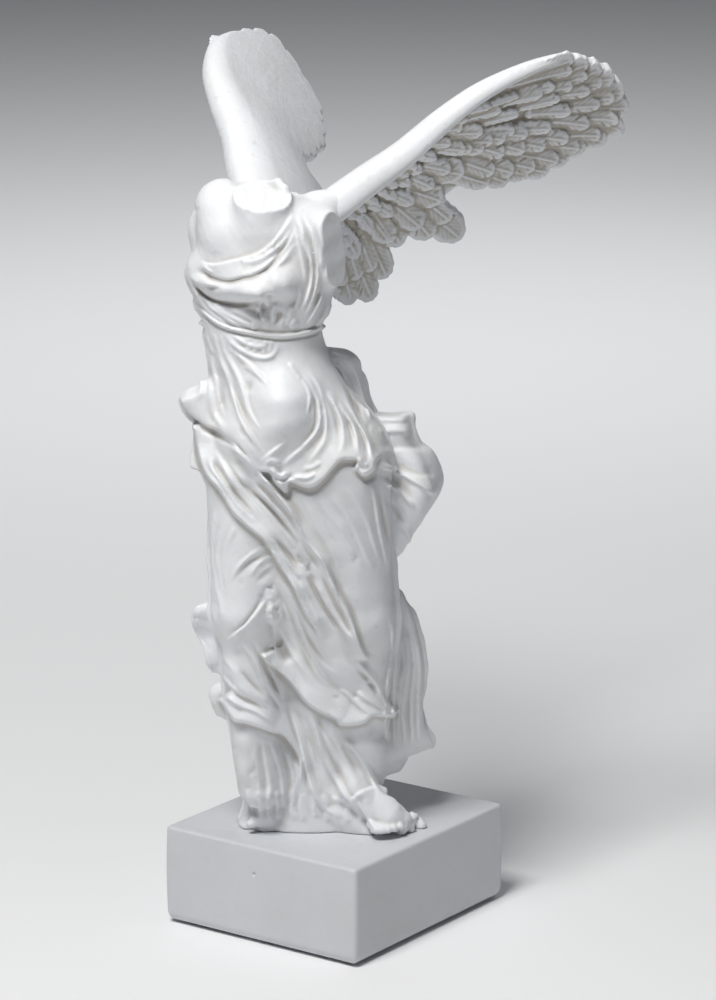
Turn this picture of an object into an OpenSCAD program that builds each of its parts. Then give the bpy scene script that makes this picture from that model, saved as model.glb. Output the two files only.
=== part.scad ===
// Winged figure on a plinth: a cast figure without head or arms, two cast wings, a cast mantle end
// that flies out behind the hip, and the plinth that they stand on, with the steel that joins them.
// Millimetres. +Z is up, the figure faces -Y, its left side is +X.
// The origin is the middle of the face that the plinth rests on.

/* [Plinth] */
// Width of the plinth, across the figure's shoulders
plinth_w = 100; // [92:1:130]
// Depth of the plinth, front to back
plinth_d = 110; // [92:1:140]
// Height of the plinth, felt included
plinth_h = 43; // [32:1:60]
// Rounding of the plinth's upright and top edges
edge_r = 1; // [0.5:0.25:3]
// Rounding of the plinth's bottom edges
foot_r = 3; // [1:0.5:5]

/* [Figure] */
// Height of the figure, from the plinth to the cut of the neck
figure_h = 274; // [225:1:330]
// Depth of the folds in the skirt
fold_depth = 2; // [0:0.1:3]
// How far the figure's middle stands to its right of the plinth's middle, at the neck
neck_shift = 10; // [4:1:14]

/* [Wings] */
// Length of a wing along its leading edge
wing_l = 127; // [106:1:153]
// Thickness of a wing's leading edge at the root
wing_t = 17; // [13:0.5:21]
// Angle of the wings above the level
wing_rise = 23.5; // [15:0.5:30]
// Angle of the wings away from straight back
wing_sweep = 35.5; // [28:0.5:42]
// Angle that a wing's blade turns about its length
wing_roll = 36; // [28:0.5:44]
// Thickness of one feather
feather_t = 2; // [1.8:0.1:2.6]

/* [Mantle] */
// How far the mantle end flies out from its seat
mantle_out = 34; // [28:1:41]
// Height of the mantle end
mantle_h = 60; // [50:1:72]

/* [Fixings] */
// Diameter of the steel dowels
dowel_d = 4; // [3:0.5:5]
// Length of a wing dowel
dowel_l = 40; // [32:1:48]
// Diameter of the stud that holds the figure to the plinth
stud_d = 6; // [5:0.5:8]
// Length of the stud above the plinth
stud_rise = 60; // [45:1:75]
// Gap left for glue around each dowel and tenon
glue = 0.15; // [0.1:0.05:0.3]
// Thickness of the felt under the plinth
felt_t = 1.5; // [1:0.25:3]

/* [Hidden] */
$fn = 48;

cast = "WhiteSmoke";
steel = "Silver";
brass = "Goldenrod";
eps = 0.01;

// Plinth and what is under it
felt_margin = 5;
felt_recess = 0.7;
block_z = felt_t - felt_recess;
pocket_d = 3.2 * stud_d;
pocket_h = 2.2 * stud_d;
washer_t = 0.27 * stud_d;
nut_t = 0.83 * stud_d;
nut_af = 1.67 * stud_d;
washer_d = 2.1 * stud_d;
running = 0.05;
seat_gap = 0.1;

// Figure: sections as [height share, x, y, half width, half depth, turn about the upright, fold
// share]. Lengths are for a figure 274 high and grow with it.
master_h = 274;
k = figure_h / master_h;
rows = [
    [0.000, 3, -8, 36, 20, 35, 0.4], [0.040, 2, -10, 34, 20, 35, 0.9], [0.120, -2, -15, 32, 22, 35, 1.3],
    [0.215, -1, -16, 35, 26, 32, 1.2], [0.300, 0, -18, 36, 30, 28, 1.0], [0.370, -1, -22, 38, 32, 24, 0.8],
    [0.450, -2, -25, 38, 33, 20, 0.9], [0.530, -2, -26, 37, 33, 16, 1.1], [0.605, -2, -28, 39, 31, 12, 1.2],
    [0.665, -3, -30, 35, 27, 8, 0.7], [0.720, -6, -33, 28, 24, 4, 0.4], [0.765, -9, -36, 26, 21, 0, 0.4],
    [0.800, -10, -37, 27, 21, 0, 0.5], [0.835, -10, -38, 30, 23, 0, 0.5], [0.875, -10, -38, 32, 25, 0, 0.3],
    [0.915, -10, -37, 32, 23, 0, 0.2], [0.950, -10, -36, 30, 19, 0, 0.1], [0.978, -10, -36, 25, 14, 0, 0],
    [0.990, -10, -36, 15, 10, 0, 0]];
folds = 9;
n_around = 48;
n_rings = 54;

// Middle of the shoulders
mid_x = -neck_shift;

// Smooth value of column c of table t at row position u, from 0 to len(t) - 1
function part_of(a, b, c, d, f) =
    0.5 * (2 * b + (c - a) * f + (2 * a - 5 * b + 4 * c - d) * f * f + (3 * b - a - 3 * c + d) * f * f * f);
function row_at(t, i) = t[max(0, min(len(t) - 1, i))];
function smooth(t, u, c, i) =
    part_of(row_at(t, i - 1)[c], row_at(t, i)[c], row_at(t, i + 1)[c], row_at(t, i + 2)[c], u - i);
function column(t, u, c) = smooth(t, u, c, min(len(t) - 2, floor(u)));

// A skin through rings of points, closed flat at both ends
module skin(rings) {
    n = len(rings[0]);
    m = len(rings);
    sides = [for (i = [0:m - 2], j = [0:n - 1])
        [i * n + j, i * n + (j + 1) % n, (i + 1) * n + (j + 1) % n, (i + 1) * n + j]];
    triangles = [for (q = sides) each [[q[0], q[2], q[1]], [q[0], q[3], q[2]]]];
    bottom = [[for (j = [0:n - 1]) j]];
    top = [[for (j = [n - 1:-1:0]) (m - 1) * n + j]];
    polyhedron([for (r = rings) each r], concat(triangles, bottom, top));
}

// Folds run down the skirt and turn slowly about it
function fold(a, z) = 0.6 * sin(folds * a + 120 * z) + 0.4 * sin((folds + 5) * a - 260 * z);

function figure_ring(u) = [
    for (j = [0:n_around - 1])
        let (a = 360 * j / n_around, z = column(rows, u, 0), turn = column(rows, u, 5),
            dip = fold_depth * column(rows, u, 6) * fold(a, z),
            p = (column(rows, u, 3) + dip) * cos(a), q = (column(rows, u, 4) + dip) * sin(a),
            sway = z > 0.7 ? neck_shift / 10 : 1)
            [k * (p * cos(turn) - q * sin(turn) + column(rows, u, 1) * sway),
                k * (p * sin(turn) + q * cos(turn) + column(rows, u, 2)),
                plinth_h + seat_gap + z * figure_h]];

module figure_skin() {
    skin([for (i = [0:n_rings]) figure_ring(i * (len(rows) - 1) / n_rings)]);
}

// Places local x along a wing, y down its blade and z out of its upper face, at the wing's root
wing_root = [mid_x + 20.6 * k, -26 * k, plinth_h + 0.999 * figure_h];
wing_along = [sin(wing_sweep) * cos(wing_rise), cos(wing_sweep) * cos(wing_rise), sin(wing_rise)];
wing_fall = [sin(wing_sweep) * sin(wing_rise), cos(wing_sweep) * sin(wing_rise), -cos(wing_rise)];
wing_level = [-cos(wing_sweep), sin(wing_sweep), 0];
wing_down = cos(wing_roll) * wing_fall + sin(wing_roll) * wing_level;
wing_up = cross(wing_along, wing_down);

module at_wing() {
    multmatrix([for (i = [0:2]) [wing_along[i], wing_down[i], wing_up[i], wing_root[i]]]) children();
}

module other_side() {
    translate([mid_x, 0, 0]) mirror([1, 0, 0]) translate([-mid_x, 0, 0]) children();
}

// Wing: sections as [length share, leading edge, trailing edge], in wings 127 long
master_l = 127;
w = wing_l / master_l;
blade_rows = [[0, 2, 46], [0.15, -2, 54], [0.3, -5, 50], [0.45, -11, 40], [0.6, -15, 38],
    [0.75, -14, 40], [0.9, -9, 40], [0.99, 0, 31]];
blade_stations = 20;
blade_sides = 12;
tenon_d = 9;
tenon_l = 9;
tenon_y = 15;

// Half thickness of the blade, thick and round at the leading edge and thin behind it
function blade_half(f, c) = 0.5 * (wing_t * (1 - 0.72 * f) * sqrt(max(0, c)) * pow(1 - c, 1.6) * 1.6 + 2.2);

// The blade bows upwards across its width
function bow(c) = -5 * w * c * c;

function blade_ring(u) =
    let (f = column(blade_rows, u, 0), le = w * column(blade_rows, u, 1), te = w * column(blade_rows, u, 2))
    [for (j = [0:2 * blade_sides - 1])
        let (upper = j >= blade_sides,
            s = upper ? (2 * blade_sides - 1 - j) / (blade_sides - 1) : j / (blade_sides - 1),
            c = s * s)
            [seat_gap + f * wing_l, le + c * (te - le), bow(c) + (upper ? 1 : -1) * blade_half(f, c)]];

module blade() {
    skin([for (i = [0:blade_stations]) blade_ring(i * (len(blade_rows) - 1) / blade_stations)]);
}

// A flat feather that lies along x from its root at the origin to its round tip
module feather(l, b) {
    linear_extrude(feather_t) {
        translate([l - b / 2, 0]) circle(b / 2);
        polygon([[0, -b * 0.3], [l - b / 2, -b / 2], [l - b / 2, b / 2], [0, b * 0.3]]);
    }
}

// One row of feathers from first to last, each as [root x, root y, tip x, tip y, width, height]
module feather_row(first, last, count) {
    for (i = [0:count - 1]) {
        g = first + (last - first) * i / (count - 1);
        along = [g[2] - g[0], g[3] - g[1]];
        translate([w * g[0], w * g[1], g[5] + 0.21 * (i % 2)])
            rotate(atan2(along[1], along[0])) feather(w * norm(along), w * g[4]);
    }
}

module wing() {
    difference() {
        union() {
            // One skin for the blade and its feathers: the size stays as it is
            resize([0, 0, 0]) union() {
                blade();
                feather_row([70, -8, 132, 5, 13, -2.0], [90, 10, 143, 37, 15, -5.4], 4);
                feather_row([86, 18, 142, 49, 15, -5.7], [66, 14, 84, 50, 14, -5.9], 5);
                feather_row([47, 8, 51, 59, 17, -6.2], [36, 10, 37, 54, 15, -6.2], 2);
                feather_row([30, 12, 27, 58, 15, -6.0], [9, 14, 4, 72, 15, -6.0], 3);
                feather_row([98, 0, 118, 14, 10, -4.4], [14, 8, 18, 32, 10, -6.9], 8);
            }
            translate([-tenon_l, tenon_y, 0]) rotate([0, 90, 0])
                cylinder(d = tenon_d, h = tenon_l + 6);
        }
        dowel_bore();
    }
}

module dowel_bore() {
    translate([-dowel_l / 2 - 1, tenon_y, 0]) rotate([0, 90, 0])
        cylinder(d = dowel_d + 2 * glue, h = dowel_l + 2);
}

// Seat that a wing's root lies against, and the socket for its tenon and dowel
module wing_seat() {
    translate([0, -14, -16]) cube([40, 90, 34]);
    translate([-tenon_l - 0.5, tenon_y, 0]) rotate([0, 90, 0])
        cylinder(d = tenon_d + 2 * glue, h = tenon_l + 1);
    dowel_bore();
}

module wing_dowel() {
    translate([-dowel_l / 2, tenon_y, 0]) rotate([0, 90, 0]) cylinder(d = dowel_d, h = dowel_l);
}

// Mantle end: local x points out of the hip, y along it and z up
mantle_turn = 42;
mantle_foot = 29 * k;
mantle_z = plinth_h + 0.54 * figure_h;
mantle_w = 52;
mantle_rows = [[0, 0.86, 0.86], [0.2, 0.97, 0.95], [0.45, 1, 1], [0.7, 0.84, 0.86], [0.88, 0.6, 0.62],
    [0.97, 0.36, 0.36], [1, 0.14, 0.16]];
mantle_dowel_l = 18;

module at_mantle() {
    translate([-2 * k, -26 * k, mantle_z]) rotate(90 - mantle_turn) translate([mantle_foot, 0, 0]) children();
}

function mantle_ring(u) = [
    for (j = [0:35])
        let (a = 10 * j, f = column(mantle_rows, u, 0), wave = 1 + 0.07 * sin(6 * a + 200 * f))
            [seat_gap + f * mantle_out, column(mantle_rows, u, 1) * wave * mantle_w / 2 * cos(a),
                column(mantle_rows, u, 2) * wave * mantle_h / 2 * sin(a)]];

module mantle_bores() {
    for (s = [-1, 1])
        translate([-mantle_dowel_l / 2 - 0.5, 0, s * mantle_h / 6]) rotate([0, 90, 0])
            cylinder(d = dowel_d + 2 * glue, h = mantle_dowel_l + 1);
}

module mantle_seat() {
    translate([0, -mantle_w * 0.6, -mantle_h * 0.58]) cube([40, mantle_w * 1.2, mantle_h * 1.16]);
    mantle_bores();
}

module mantle() {
    color(cast) at_mantle() difference() {
        skin([for (i = [0:12]) mantle_ring(i * (len(mantle_rows) - 1) / 12)]);
        mantle_bores();
    }
}

module mantle_dowels() {
    color(steel) at_mantle() for (s = [-1, 1])
        translate([-mantle_dowel_l / 2, 0, s * mantle_h / 6]) rotate([0, 90, 0])
            cylinder(d = dowel_d, h = mantle_dowel_l);
}

// Neck, arm stumps, breasts, feet and the loose cloth that the skin doesn't carry
module neck() {
    translate([mid_x, -36 * k, plinth_h + figure_h * 0.93]) rotate([14, 0, 0])
        cylinder(r = 11.5 * k, h = 0.072 * figure_h);
}

module arm_stump(side, reach, r, z) {
    translate([mid_x + side * 6 * k, -36 * k, plinth_h + z * figure_h])
        rotate([0, side * 86, 0]) cylinder(r = r * k, h = (reach - 6) * k);
}

// Shoulder blade that a wing is seated on
module shoulder_blade() {
    at_wing() hull() {
        translate(k * [-6, 7, 0]) sphere(9 * k, $fn = 24);
        translate(k * [-8, 36, -2]) sphere(9 * k, $fn = 24);
    }
}

module breast(side) {
    translate([mid_x + side * 13.5 * k, -52 * k, plinth_h + 0.865 * figure_h])
        sphere(11.5 * k, $fn = 32);
}

module cloth(a, b, ra, rb) {
    hull() {
        translate(k * a + [0, 0, plinth_h]) sphere(ra * k, $fn = 24);
        translate(k * b + [0, 0, plinth_h]) sphere(rb * k, $fn = 24);
    }
}

module loose_cloth() {
    cloth([18, -8, 70], [35, 16, 37], 12, 3.5);
    cloth([22, -6, 96], [30, 6, 60], 10, 9);
    cloth([-22, -32, 186], [-43, -44, 186], 9, 3);
    cloth([27, -20, 172], [20, -38, 165], 11, 10);
    cloth([6, -20, 204], [17, -10, 168], 6, 6);
}

foot_z = seat_gap + plinth_h;

module foot(x, y, turn) {
    translate([x * k, y * k, foot_z]) rotate(turn) {
        linear_extrude(5 * k) {
            translate([0, -8 * k]) circle(6.5 * k);
            translate([-6.5 * k, -8 * k]) square([13 * k, 18 * k]);
        }
    }
}

// Places that the figure's fixings pass through
stud_at = [3 * k, -8 * k];
pins_at = [[-15 * k, -22 * k], [25 * k, 2 * k]];
pin_l = 20;

module fixing_bores(z, h, d) {
    for (p = pins_at) translate([p[0], p[1], z]) cylinder(d = d, h = h);
}

insert_d = 1.5 * stud_d;
insert_l = 2 * stud_d;

module figure() {
    color(cast) difference() {
        // One skin for the whole body: the size stays as it is
        resize([0, 0, 0]) union() {
            figure_skin();
            neck();
            arm_stump(-1, 23, 12, 0.945);
            arm_stump(1, 31, 12.5, 0.93);
            for (s = [-1, 1]) breast(s);
            shoulder_blade();
            other_side() shoulder_blade();
            loose_cloth();
            foot(-14, -29, -12);
            foot(37, 0, 28);
        }
        at_wing() wing_seat();
        other_side() at_wing() wing_seat();
        at_mantle() mantle_seat();
        translate([stud_at[0], stud_at[1], plinth_h - 1]) cylinder(d = stud_d + 2 * glue, h = stud_rise + 2);
        translate([stud_at[0], stud_at[1], plinth_h - 1])
            cylinder(d = insert_d + 2 * running, h = insert_l + 1 + seat_gap);
        fixing_bores(plinth_h - 1, pin_l / 2 + 1.5, dowel_d + 2 * glue);
        translate([-100, -100, -100]) cube([200, 200, 100 + foot_z]);
    }
}

module left_wing() {
    color(cast) at_wing() wing();
}

module right_wing() {
    color(cast) other_side() at_wing() wing();
}

module left_wing_dowel() {
    color(steel) at_wing() wing_dowel();
}

module right_wing_dowel() {
    color(steel) other_side() at_wing() wing_dowel();
}

// A rectangle a by b centred on x, from y = 0 up, with its own rounding at the bottom and the top
module block_face(a, b, low_r, top_r) {
    for (s = [-1, 1]) {
        translate([s * (a / 2 - low_r), low_r]) circle(low_r);
        translate([s * (a / 2 - top_r), b - top_r]) circle(top_r);
    }
    translate([-a / 2 + low_r, 0]) square([a - 2 * low_r, b]);
    translate([-a / 2, low_r]) square([a, b - low_r - top_r]);
    translate([-a / 2 + top_r, b - 2 * top_r]) square([a - 2 * top_r, 2 * top_r]);
}

module plinth() {
    block_h = plinth_h - block_z;
    felt_w = plinth_w - 2 * felt_margin;
    felt_d = plinth_d - 2 * felt_margin;
    color(cast) difference() {
        translate([0, 0, block_z]) intersection() {
            translate([0, plinth_d / 2, 0]) rotate([90, 0, 0])
                linear_extrude(plinth_d) block_face(plinth_w, block_h, foot_r, edge_r);
            translate([-plinth_w / 2, 0, 0]) rotate([90, 0, 90])
                linear_extrude(plinth_w) block_face(plinth_d, block_h, foot_r, edge_r);
            translate([0, -plinth_d / 2, 0]) linear_extrude(block_h)
                block_face(plinth_w, plinth_d, edge_r, edge_r);
        }
        translate([-felt_w / 2, -felt_d / 2, 0]) cube([felt_w, felt_d, felt_t]);
        translate([stud_at[0], stud_at[1], 0]) cylinder(d = pocket_d, h = felt_t + pocket_h);
        translate([stud_at[0], stud_at[1], 0]) cylinder(d = stud_d + 2 * glue, h = plinth_h + 1);
        fixing_bores(plinth_h - pin_l / 2 - 0.5, pin_l, dowel_d + 2 * glue);
    }
}

module felt_pad() {
    play = 2 * glue;
    felt_w = plinth_w - 2 * felt_margin - play;
    felt_d = plinth_d - 2 * felt_margin - play;
    color("DarkSeaGreen") translate([-felt_w / 2, -felt_d / 2, 0]) cube([felt_w, felt_d, felt_t - eps]);
}

module figure_dowels() {
    color(steel) fixing_bores(plinth_h - pin_l / 2, pin_l, dowel_d);
}

// Stud: from under the nut up into the standing leg
nut_z = felt_t + pocket_h - washer_t - nut_t - 0.04;
washer_z = nut_z + nut_t + 0.02;

module stud() {
    low = nut_z - 1.5;
    color(steel) translate([stud_at[0], stud_at[1], low]) cylinder(d = stud_d, h = plinth_h + stud_rise - low);
}

module ring(outer, inner, h) {
    difference() {
        cylinder(d = outer, h = h);
        translate([0, 0, -1]) cylinder(d = inner, h = h + 2);
    }
}

module stud_insert() {
    color(brass) translate([stud_at[0], stud_at[1], foot_z])
        ring(insert_d, stud_d + 2 * running, insert_l - seat_gap);
}

module stud_washer() {
    color(steel) translate([stud_at[0], stud_at[1], washer_z]) ring(washer_d, stud_d + 2 * glue, washer_t);
}

module stud_nut() {
    color(steel) translate([stud_at[0], stud_at[1], nut_z]) difference() {
        cylinder(d = nut_af / cos(30), h = nut_t, $fn = 6);
        translate([0, 0, -1]) cylinder(d = stud_d + 2 * running, h = nut_t + 2);
    }
}

plinth();
felt_pad();
figure();
left_wing();
right_wing();
mantle();
left_wing_dowel();
right_wing_dowel();
mantle_dowels();
figure_dowels();
stud();
stud_insert();
stud_washer();
stud_nut();
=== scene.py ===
import math

import bpy
import numpy as np
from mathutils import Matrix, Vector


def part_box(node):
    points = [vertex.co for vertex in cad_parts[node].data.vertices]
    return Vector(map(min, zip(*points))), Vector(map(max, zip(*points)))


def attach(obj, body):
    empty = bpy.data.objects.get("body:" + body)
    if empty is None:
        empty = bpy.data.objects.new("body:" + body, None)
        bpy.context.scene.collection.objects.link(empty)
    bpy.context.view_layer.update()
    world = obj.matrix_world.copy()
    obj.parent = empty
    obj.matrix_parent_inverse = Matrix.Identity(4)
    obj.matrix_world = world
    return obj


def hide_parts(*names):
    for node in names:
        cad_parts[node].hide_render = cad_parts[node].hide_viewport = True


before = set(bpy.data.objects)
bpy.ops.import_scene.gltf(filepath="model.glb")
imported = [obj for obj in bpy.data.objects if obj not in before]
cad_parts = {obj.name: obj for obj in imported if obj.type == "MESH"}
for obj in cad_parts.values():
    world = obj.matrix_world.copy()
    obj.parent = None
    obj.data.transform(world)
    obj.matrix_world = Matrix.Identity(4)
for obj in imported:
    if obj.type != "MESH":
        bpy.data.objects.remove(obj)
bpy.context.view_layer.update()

import openvdb
from mathutils import Matrix, Vector

MM = 0.001
FINE = 1.0


# ---------------------------------------------------------------- places, in millimetres, from the CAD frame
def node_box(name):
    low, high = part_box(name)
    return np.array(low) / MM, np.array(high) / MM


plinth_low, plinth_high = node_box("plinth")
TOP = plinth_high[2]                     # top of the plinth
BODY_H = 274.0                           # plinth to the cut of the neck
MID_X = -10.0                            # middle of the shoulders

# The piece is laid out as seen from the quarter view it is displayed from. s runs right and t up on an
# upright plane through the piece; EYE is the viewpoint.
AZIMUTH, ELEVATION, DISTANCE, PLANE = 35.6, 13.8, 1723.0, 70.0
_a, _e = math.radians(AZIMUTH), math.radians(ELEVATION)
BACK = np.array([math.sin(_a) * math.cos(_e), -math.cos(_a) * math.cos(_e), math.sin(_e)])
RIGHT = np.array([math.cos(_a), math.sin(_a), 0.0])
UP = np.cross(BACK, RIGHT)
CENTRE_S, CENTRE_T = 9.64, 176.4         # the middle of the view
AXIS_NEAR, AXIS_LEAN = 6.0, 0.309        # how near the viewer the figure's axis is: at t = 0, and more per t
EYE = BACK * DISTANCE + RIGHT * CENTRE_S + UP * CENTRE_T


def seen(s, t, f=0.0):
    """The place that shows at s, t, and lies f in front of the figure's axis."""
    b = AXIS_NEAR + AXIS_LEAN * t + f
    q = RIGHT * s + UP * t + BACK * PLANE
    return EYE + (q - EYE) * (DISTANCE - b) / (DISTANCE - PLANE)


# ---------------------------------------------------------------- tools
def smin(a, b, k):
    h = np.clip(0.5 + 0.5 * (b - a) / k, 0, 1)
    return b + (a - b) * h - k * h * (1 - h)


def smax(a, b, k):
    return -smin(-a, -b, k)


def step(a, b, x):
    h = np.clip((x - a) / (b - a), 0, 1)
    return h * h * (3 - 2 * h)


def spline(pts, gap=1.0):
    """A smooth curve through the points, sampled about every gap."""
    p = np.asarray(pts, float)
    if len(p) == 2:
        n = max(2, int(np.linalg.norm(p[1] - p[0]) / gap) + 1)
        return p[0] + np.linspace(0, 1, n)[:, None] * (p[1] - p[0])
    q = np.vstack([2 * p[0] - p[1], p, 2 * p[-1] - p[-2]])
    out = []
    for i in range(1, len(q) - 2):
        n = max(2, int(np.linalg.norm(q[i + 1] - q[i]) / gap) + 1)
        f = np.linspace(0, 1, n, endpoint=False)[:, None]
        a, b, c, d = q[i - 1], q[i], q[i + 1], q[i + 2]
        out.append(0.5 * (2 * b + (c - a) * f + (2 * a - 5 * b + 4 * c - d) * f ** 2
                          + (3 * b - a - 3 * c + d) * f ** 3))
    out.append(p[-1:])
    return np.vstack(out)


def evenly(curve, count, gap):
    """count places spread evenly along a smooth curve."""
    q = spline(curve, gap)
    return q[np.linspace(0, len(q) - 1, count).round().astype(int)]


def fade(way, ends):
    """How strong a stroke is along its way: it swells over its first share and dies over its last."""
    strength = 1.0
    for share, at in zip(ends, (way, 1 - way)):
        if share > 0:
            strength = strength * step(0, share, at)
    return strength


class Relief:
    """A height map on a plane, drawn with strokes. Heights are millimetres out of the surface."""

    def __init__(self, a0, a1, b0, b1, gap):
        self.a0, self.b0, self.gap = a0, b0, gap
        self.a = np.arange(a0, a1, gap)
        self.b = np.arange(b0, b1, gap)
        shape = (len(self.a), len(self.b))
        self.ridge = np.zeros(shape, np.float32)
        self.groove = np.zeros(shape, np.float32)
        self.lips = np.zeros(shape, np.float32)

    def window(self, pts, w):
        lo, hi = pts.min(0)[:2] - w, pts.max(0)[:2] + w
        i0, i1 = np.searchsorted(self.a, [lo[0], hi[0]])
        j0, j1 = np.searchsorted(self.b, [lo[1], hi[1]])
        return slice(i0, i1), slice(j0, j1)

    def trace(self, pts, w):
        """Distance, side and share of the way along the curve, in a window round it."""
        c = spline(pts, max(self.gap * 2, 1.0))
        sl = self.window(c, w)
        A, B = self.a[sl[0]][:, None], self.b[sl[1]][None, :]
        best = np.full((A.shape[0], B.shape[1]), 1e9, np.float32)
        side = np.zeros_like(best)
        way = np.zeros_like(best)
        seg = np.linalg.norm(np.diff(c[:, :2], axis=0), axis=1)
        along = np.concatenate([[0], np.cumsum(seg)])
        for i in range(len(c) - 1):
            d = c[i + 1, :2] - c[i, :2]
            n = max(seg[i], 1e-6)
            x, y = A - c[i, 0], B - c[i, 1]
            f = np.clip((x * d[0] + y * d[1]) / n ** 2, 0, 1)
            dist = np.hypot(x - f * d[0], y - f * d[1])
            near = dist < best
            best = np.where(near, dist, best)
            side = np.where(near, np.sign(d[0] * y - d[1] * x), side)
            way = np.where(near, (along[i] + f * n) / along[-1], way)
        return sl, best, side, way

    def stroke(self, h, w, pts, ends=(0.25, 0.25)):
        """A rounded fold: a ridge if h is above 0, a hollow below."""
        h, w = (h * 0.8, w * 1.35) if h < 0 else (h, w * 1.15)
        if h < 0 and ends == (0.25, 0.25):
            ends = (0.45, 0.45)
        sl, d, side, way = self.trace(pts, w * 1.5)
        lean = 0.38 if len(pts) > 2 else 0.0              # one flank is steeper than the other
        r = np.clip(d / (w * (1 + lean * side)), 0, 1)
        sharp = 0.75 if w < 5 else 0.0
        round_top = 0.5 + 0.5 * np.cos(np.pi * r)
        shape = h * fade(way, ends) * (sharp * (1 - r) ** 1.35 + (1 - sharp) * round_top)
        if h > 0:
            self.ridge[sl] = np.maximum(self.ridge[sl], shape)
        else:
            self.groove[sl] = np.minimum(self.groove[sl], shape)

    def lip(self, h, w, pts, edge=0.8, ends=(0.12, 0.12)):
        """A cloth edge: it stands h proud on the left of the curve and fades over w."""
        sl, d, side, way = self.trace(pts, max(w, edge))
        inner = np.clip(1 - d / w, 0, 1) ** 1.3
        outer = np.clip(1 - d / edge, 0, 1)
        shape = h * fade(way, ends) * np.where(side >= 0, inner, outer * (side < 0))
        self.lips[sl] = np.maximum(self.lips[sl], shape)

    def fan(self, c1, c2, n, h, w, vary=0.25, seed=1, ends=(0.2, 0.2)):
        """n folds that lie between two guide curves."""
        rng = np.random.default_rng(seed)
        m = 7
        e1, e2 = evenly(c1, m, 1.0), evenly(c2, m, 1.0)
        for i in range(n):
            f = (i + rng.uniform(-0.2, 0.2)) / max(1, n - 1)
            f = min(1, max(0, f))
            pts = e1 + (e2 - e1) * f + rng.uniform(-0.3, 0.3, (m, 2))
            a, b = sorted(rng.uniform(0, vary, 2))
            q = pts[int(a * m):m - int(b * m * 0.6)]
            self.stroke(h * rng.uniform(1 - vary, 1 + vary), w * rng.uniform(0.85, 1.15), q, ends)

    def total(self):
        return self.lips + self.ridge + self.groove

    def read(self, field, a, b):
        """Values of a field of this map at places a, b."""
        x = np.clip((a - self.a0) / self.gap, 0, field.shape[0] - 1.001)
        y = np.clip((b - self.b0) / self.gap, 0, field.shape[1] - 1.001)
        i, j = x.astype(int), y.astype(int)
        fx, fy = x - i, y - j
        return ((field[i, j] * (1 - fx) + field[i + 1, j] * fx) * (1 - fy)
                + (field[i, j + 1] * (1 - fx) + field[i + 1, j + 1] * fx) * fy)


class Block:
    """A box of space on a grid, holding distance to the surface: below 0 is inside."""

    def __init__(self, low, high, gap):
        self.low, self.gap = np.array(low, float), gap
        self.n = [int((h - l) / gap) + 1 for l, h in zip(low, high)]
        self.axis = [self.low[i] + np.arange(self.n[i]) * gap for i in range(3)]
        self.f = np.full(self.n, 30.0, np.float32)

    def part(self, low, high):
        return tuple(slice(max(0, int((low[i] - self.low[i]) / self.gap)),
                           max(1, min(self.n[i], int((high[i] - self.low[i]) / self.gap) + 2)))
                     for i in range(3))

    def places(self, sl):
        return (self.axis[0][sl[0]][:, None, None], self.axis[1][sl[1]][None, :, None],
                self.axis[2][sl[2]][None, None, :])

    def cone(self, a, b, ra, rb, k=3.0, cut=False):
        """A round-ended cone from a to b, blended in over k, or cut away."""
        a, b = np.asarray(a, float), np.asarray(b, float)
        m = max(ra, rb) + k + 3
        sl = self.part(np.minimum(a, b) - m, np.maximum(a, b) + m)
        X, Y, Z = self.places(sl)
        d = b - a
        n2 = max(d @ d, 1e-9)
        x, y, z = X - a[0], Y - a[1], Z - a[2]
        f = np.clip((x * d[0] + y * d[1] + z * d[2]) / n2, 0, 1)
        dist = np.sqrt((x - f * d[0]) ** 2 + (y - f * d[1]) ** 2 + (z - f * d[2]) ** 2)
        dist = dist - (ra + (rb - ra) * f)
        self.f[sl] = smax(self.f[sl], -dist, k) if cut else smin(self.f[sl], dist, k)

    def chain(self, pts, radii, k=3.0, cut=False):
        for i in range(len(pts) - 1):
            self.cone(pts[i], pts[i + 1], radii[i], radii[i + 1], k, cut)

    def sheet(self, inner, outer, ri, ro, k=3.0, gap=1.6):
        """Cloth that spans two curves, ri thick at the inner one and ro at the outer one."""
        inner, outer = np.asarray(inner, float), np.asarray(outer, float)
        length = max(np.linalg.norm(np.diff(c, axis=0), axis=1).sum() for c in (inner, outer))
        n = int(length / gap) + 2
        for a, b in zip(evenly(inner, n, 0.5), evenly(outer, n, 0.5)):
            self.cone(a, b, ri, ro, k)

    def near(self, width):
        return np.nonzero(np.abs(self.f) < width)

    def mesh(self):
        """The surface as points, quads and triangles."""
        clipped = np.clip(self.f, -3 * self.gap, 3 * self.gap)
        grid = openvdb.FloatGrid(3 * self.gap)
        grid.copyFromArray(clipped, tolerance=1e-4)
        pts, tris, quads = grid.convertToPolygons(isovalue=0.0, adaptivity=0.0)
        return pts * self.gap + self.low, quads[:, ::-1], tris[:, ::-1]


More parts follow.
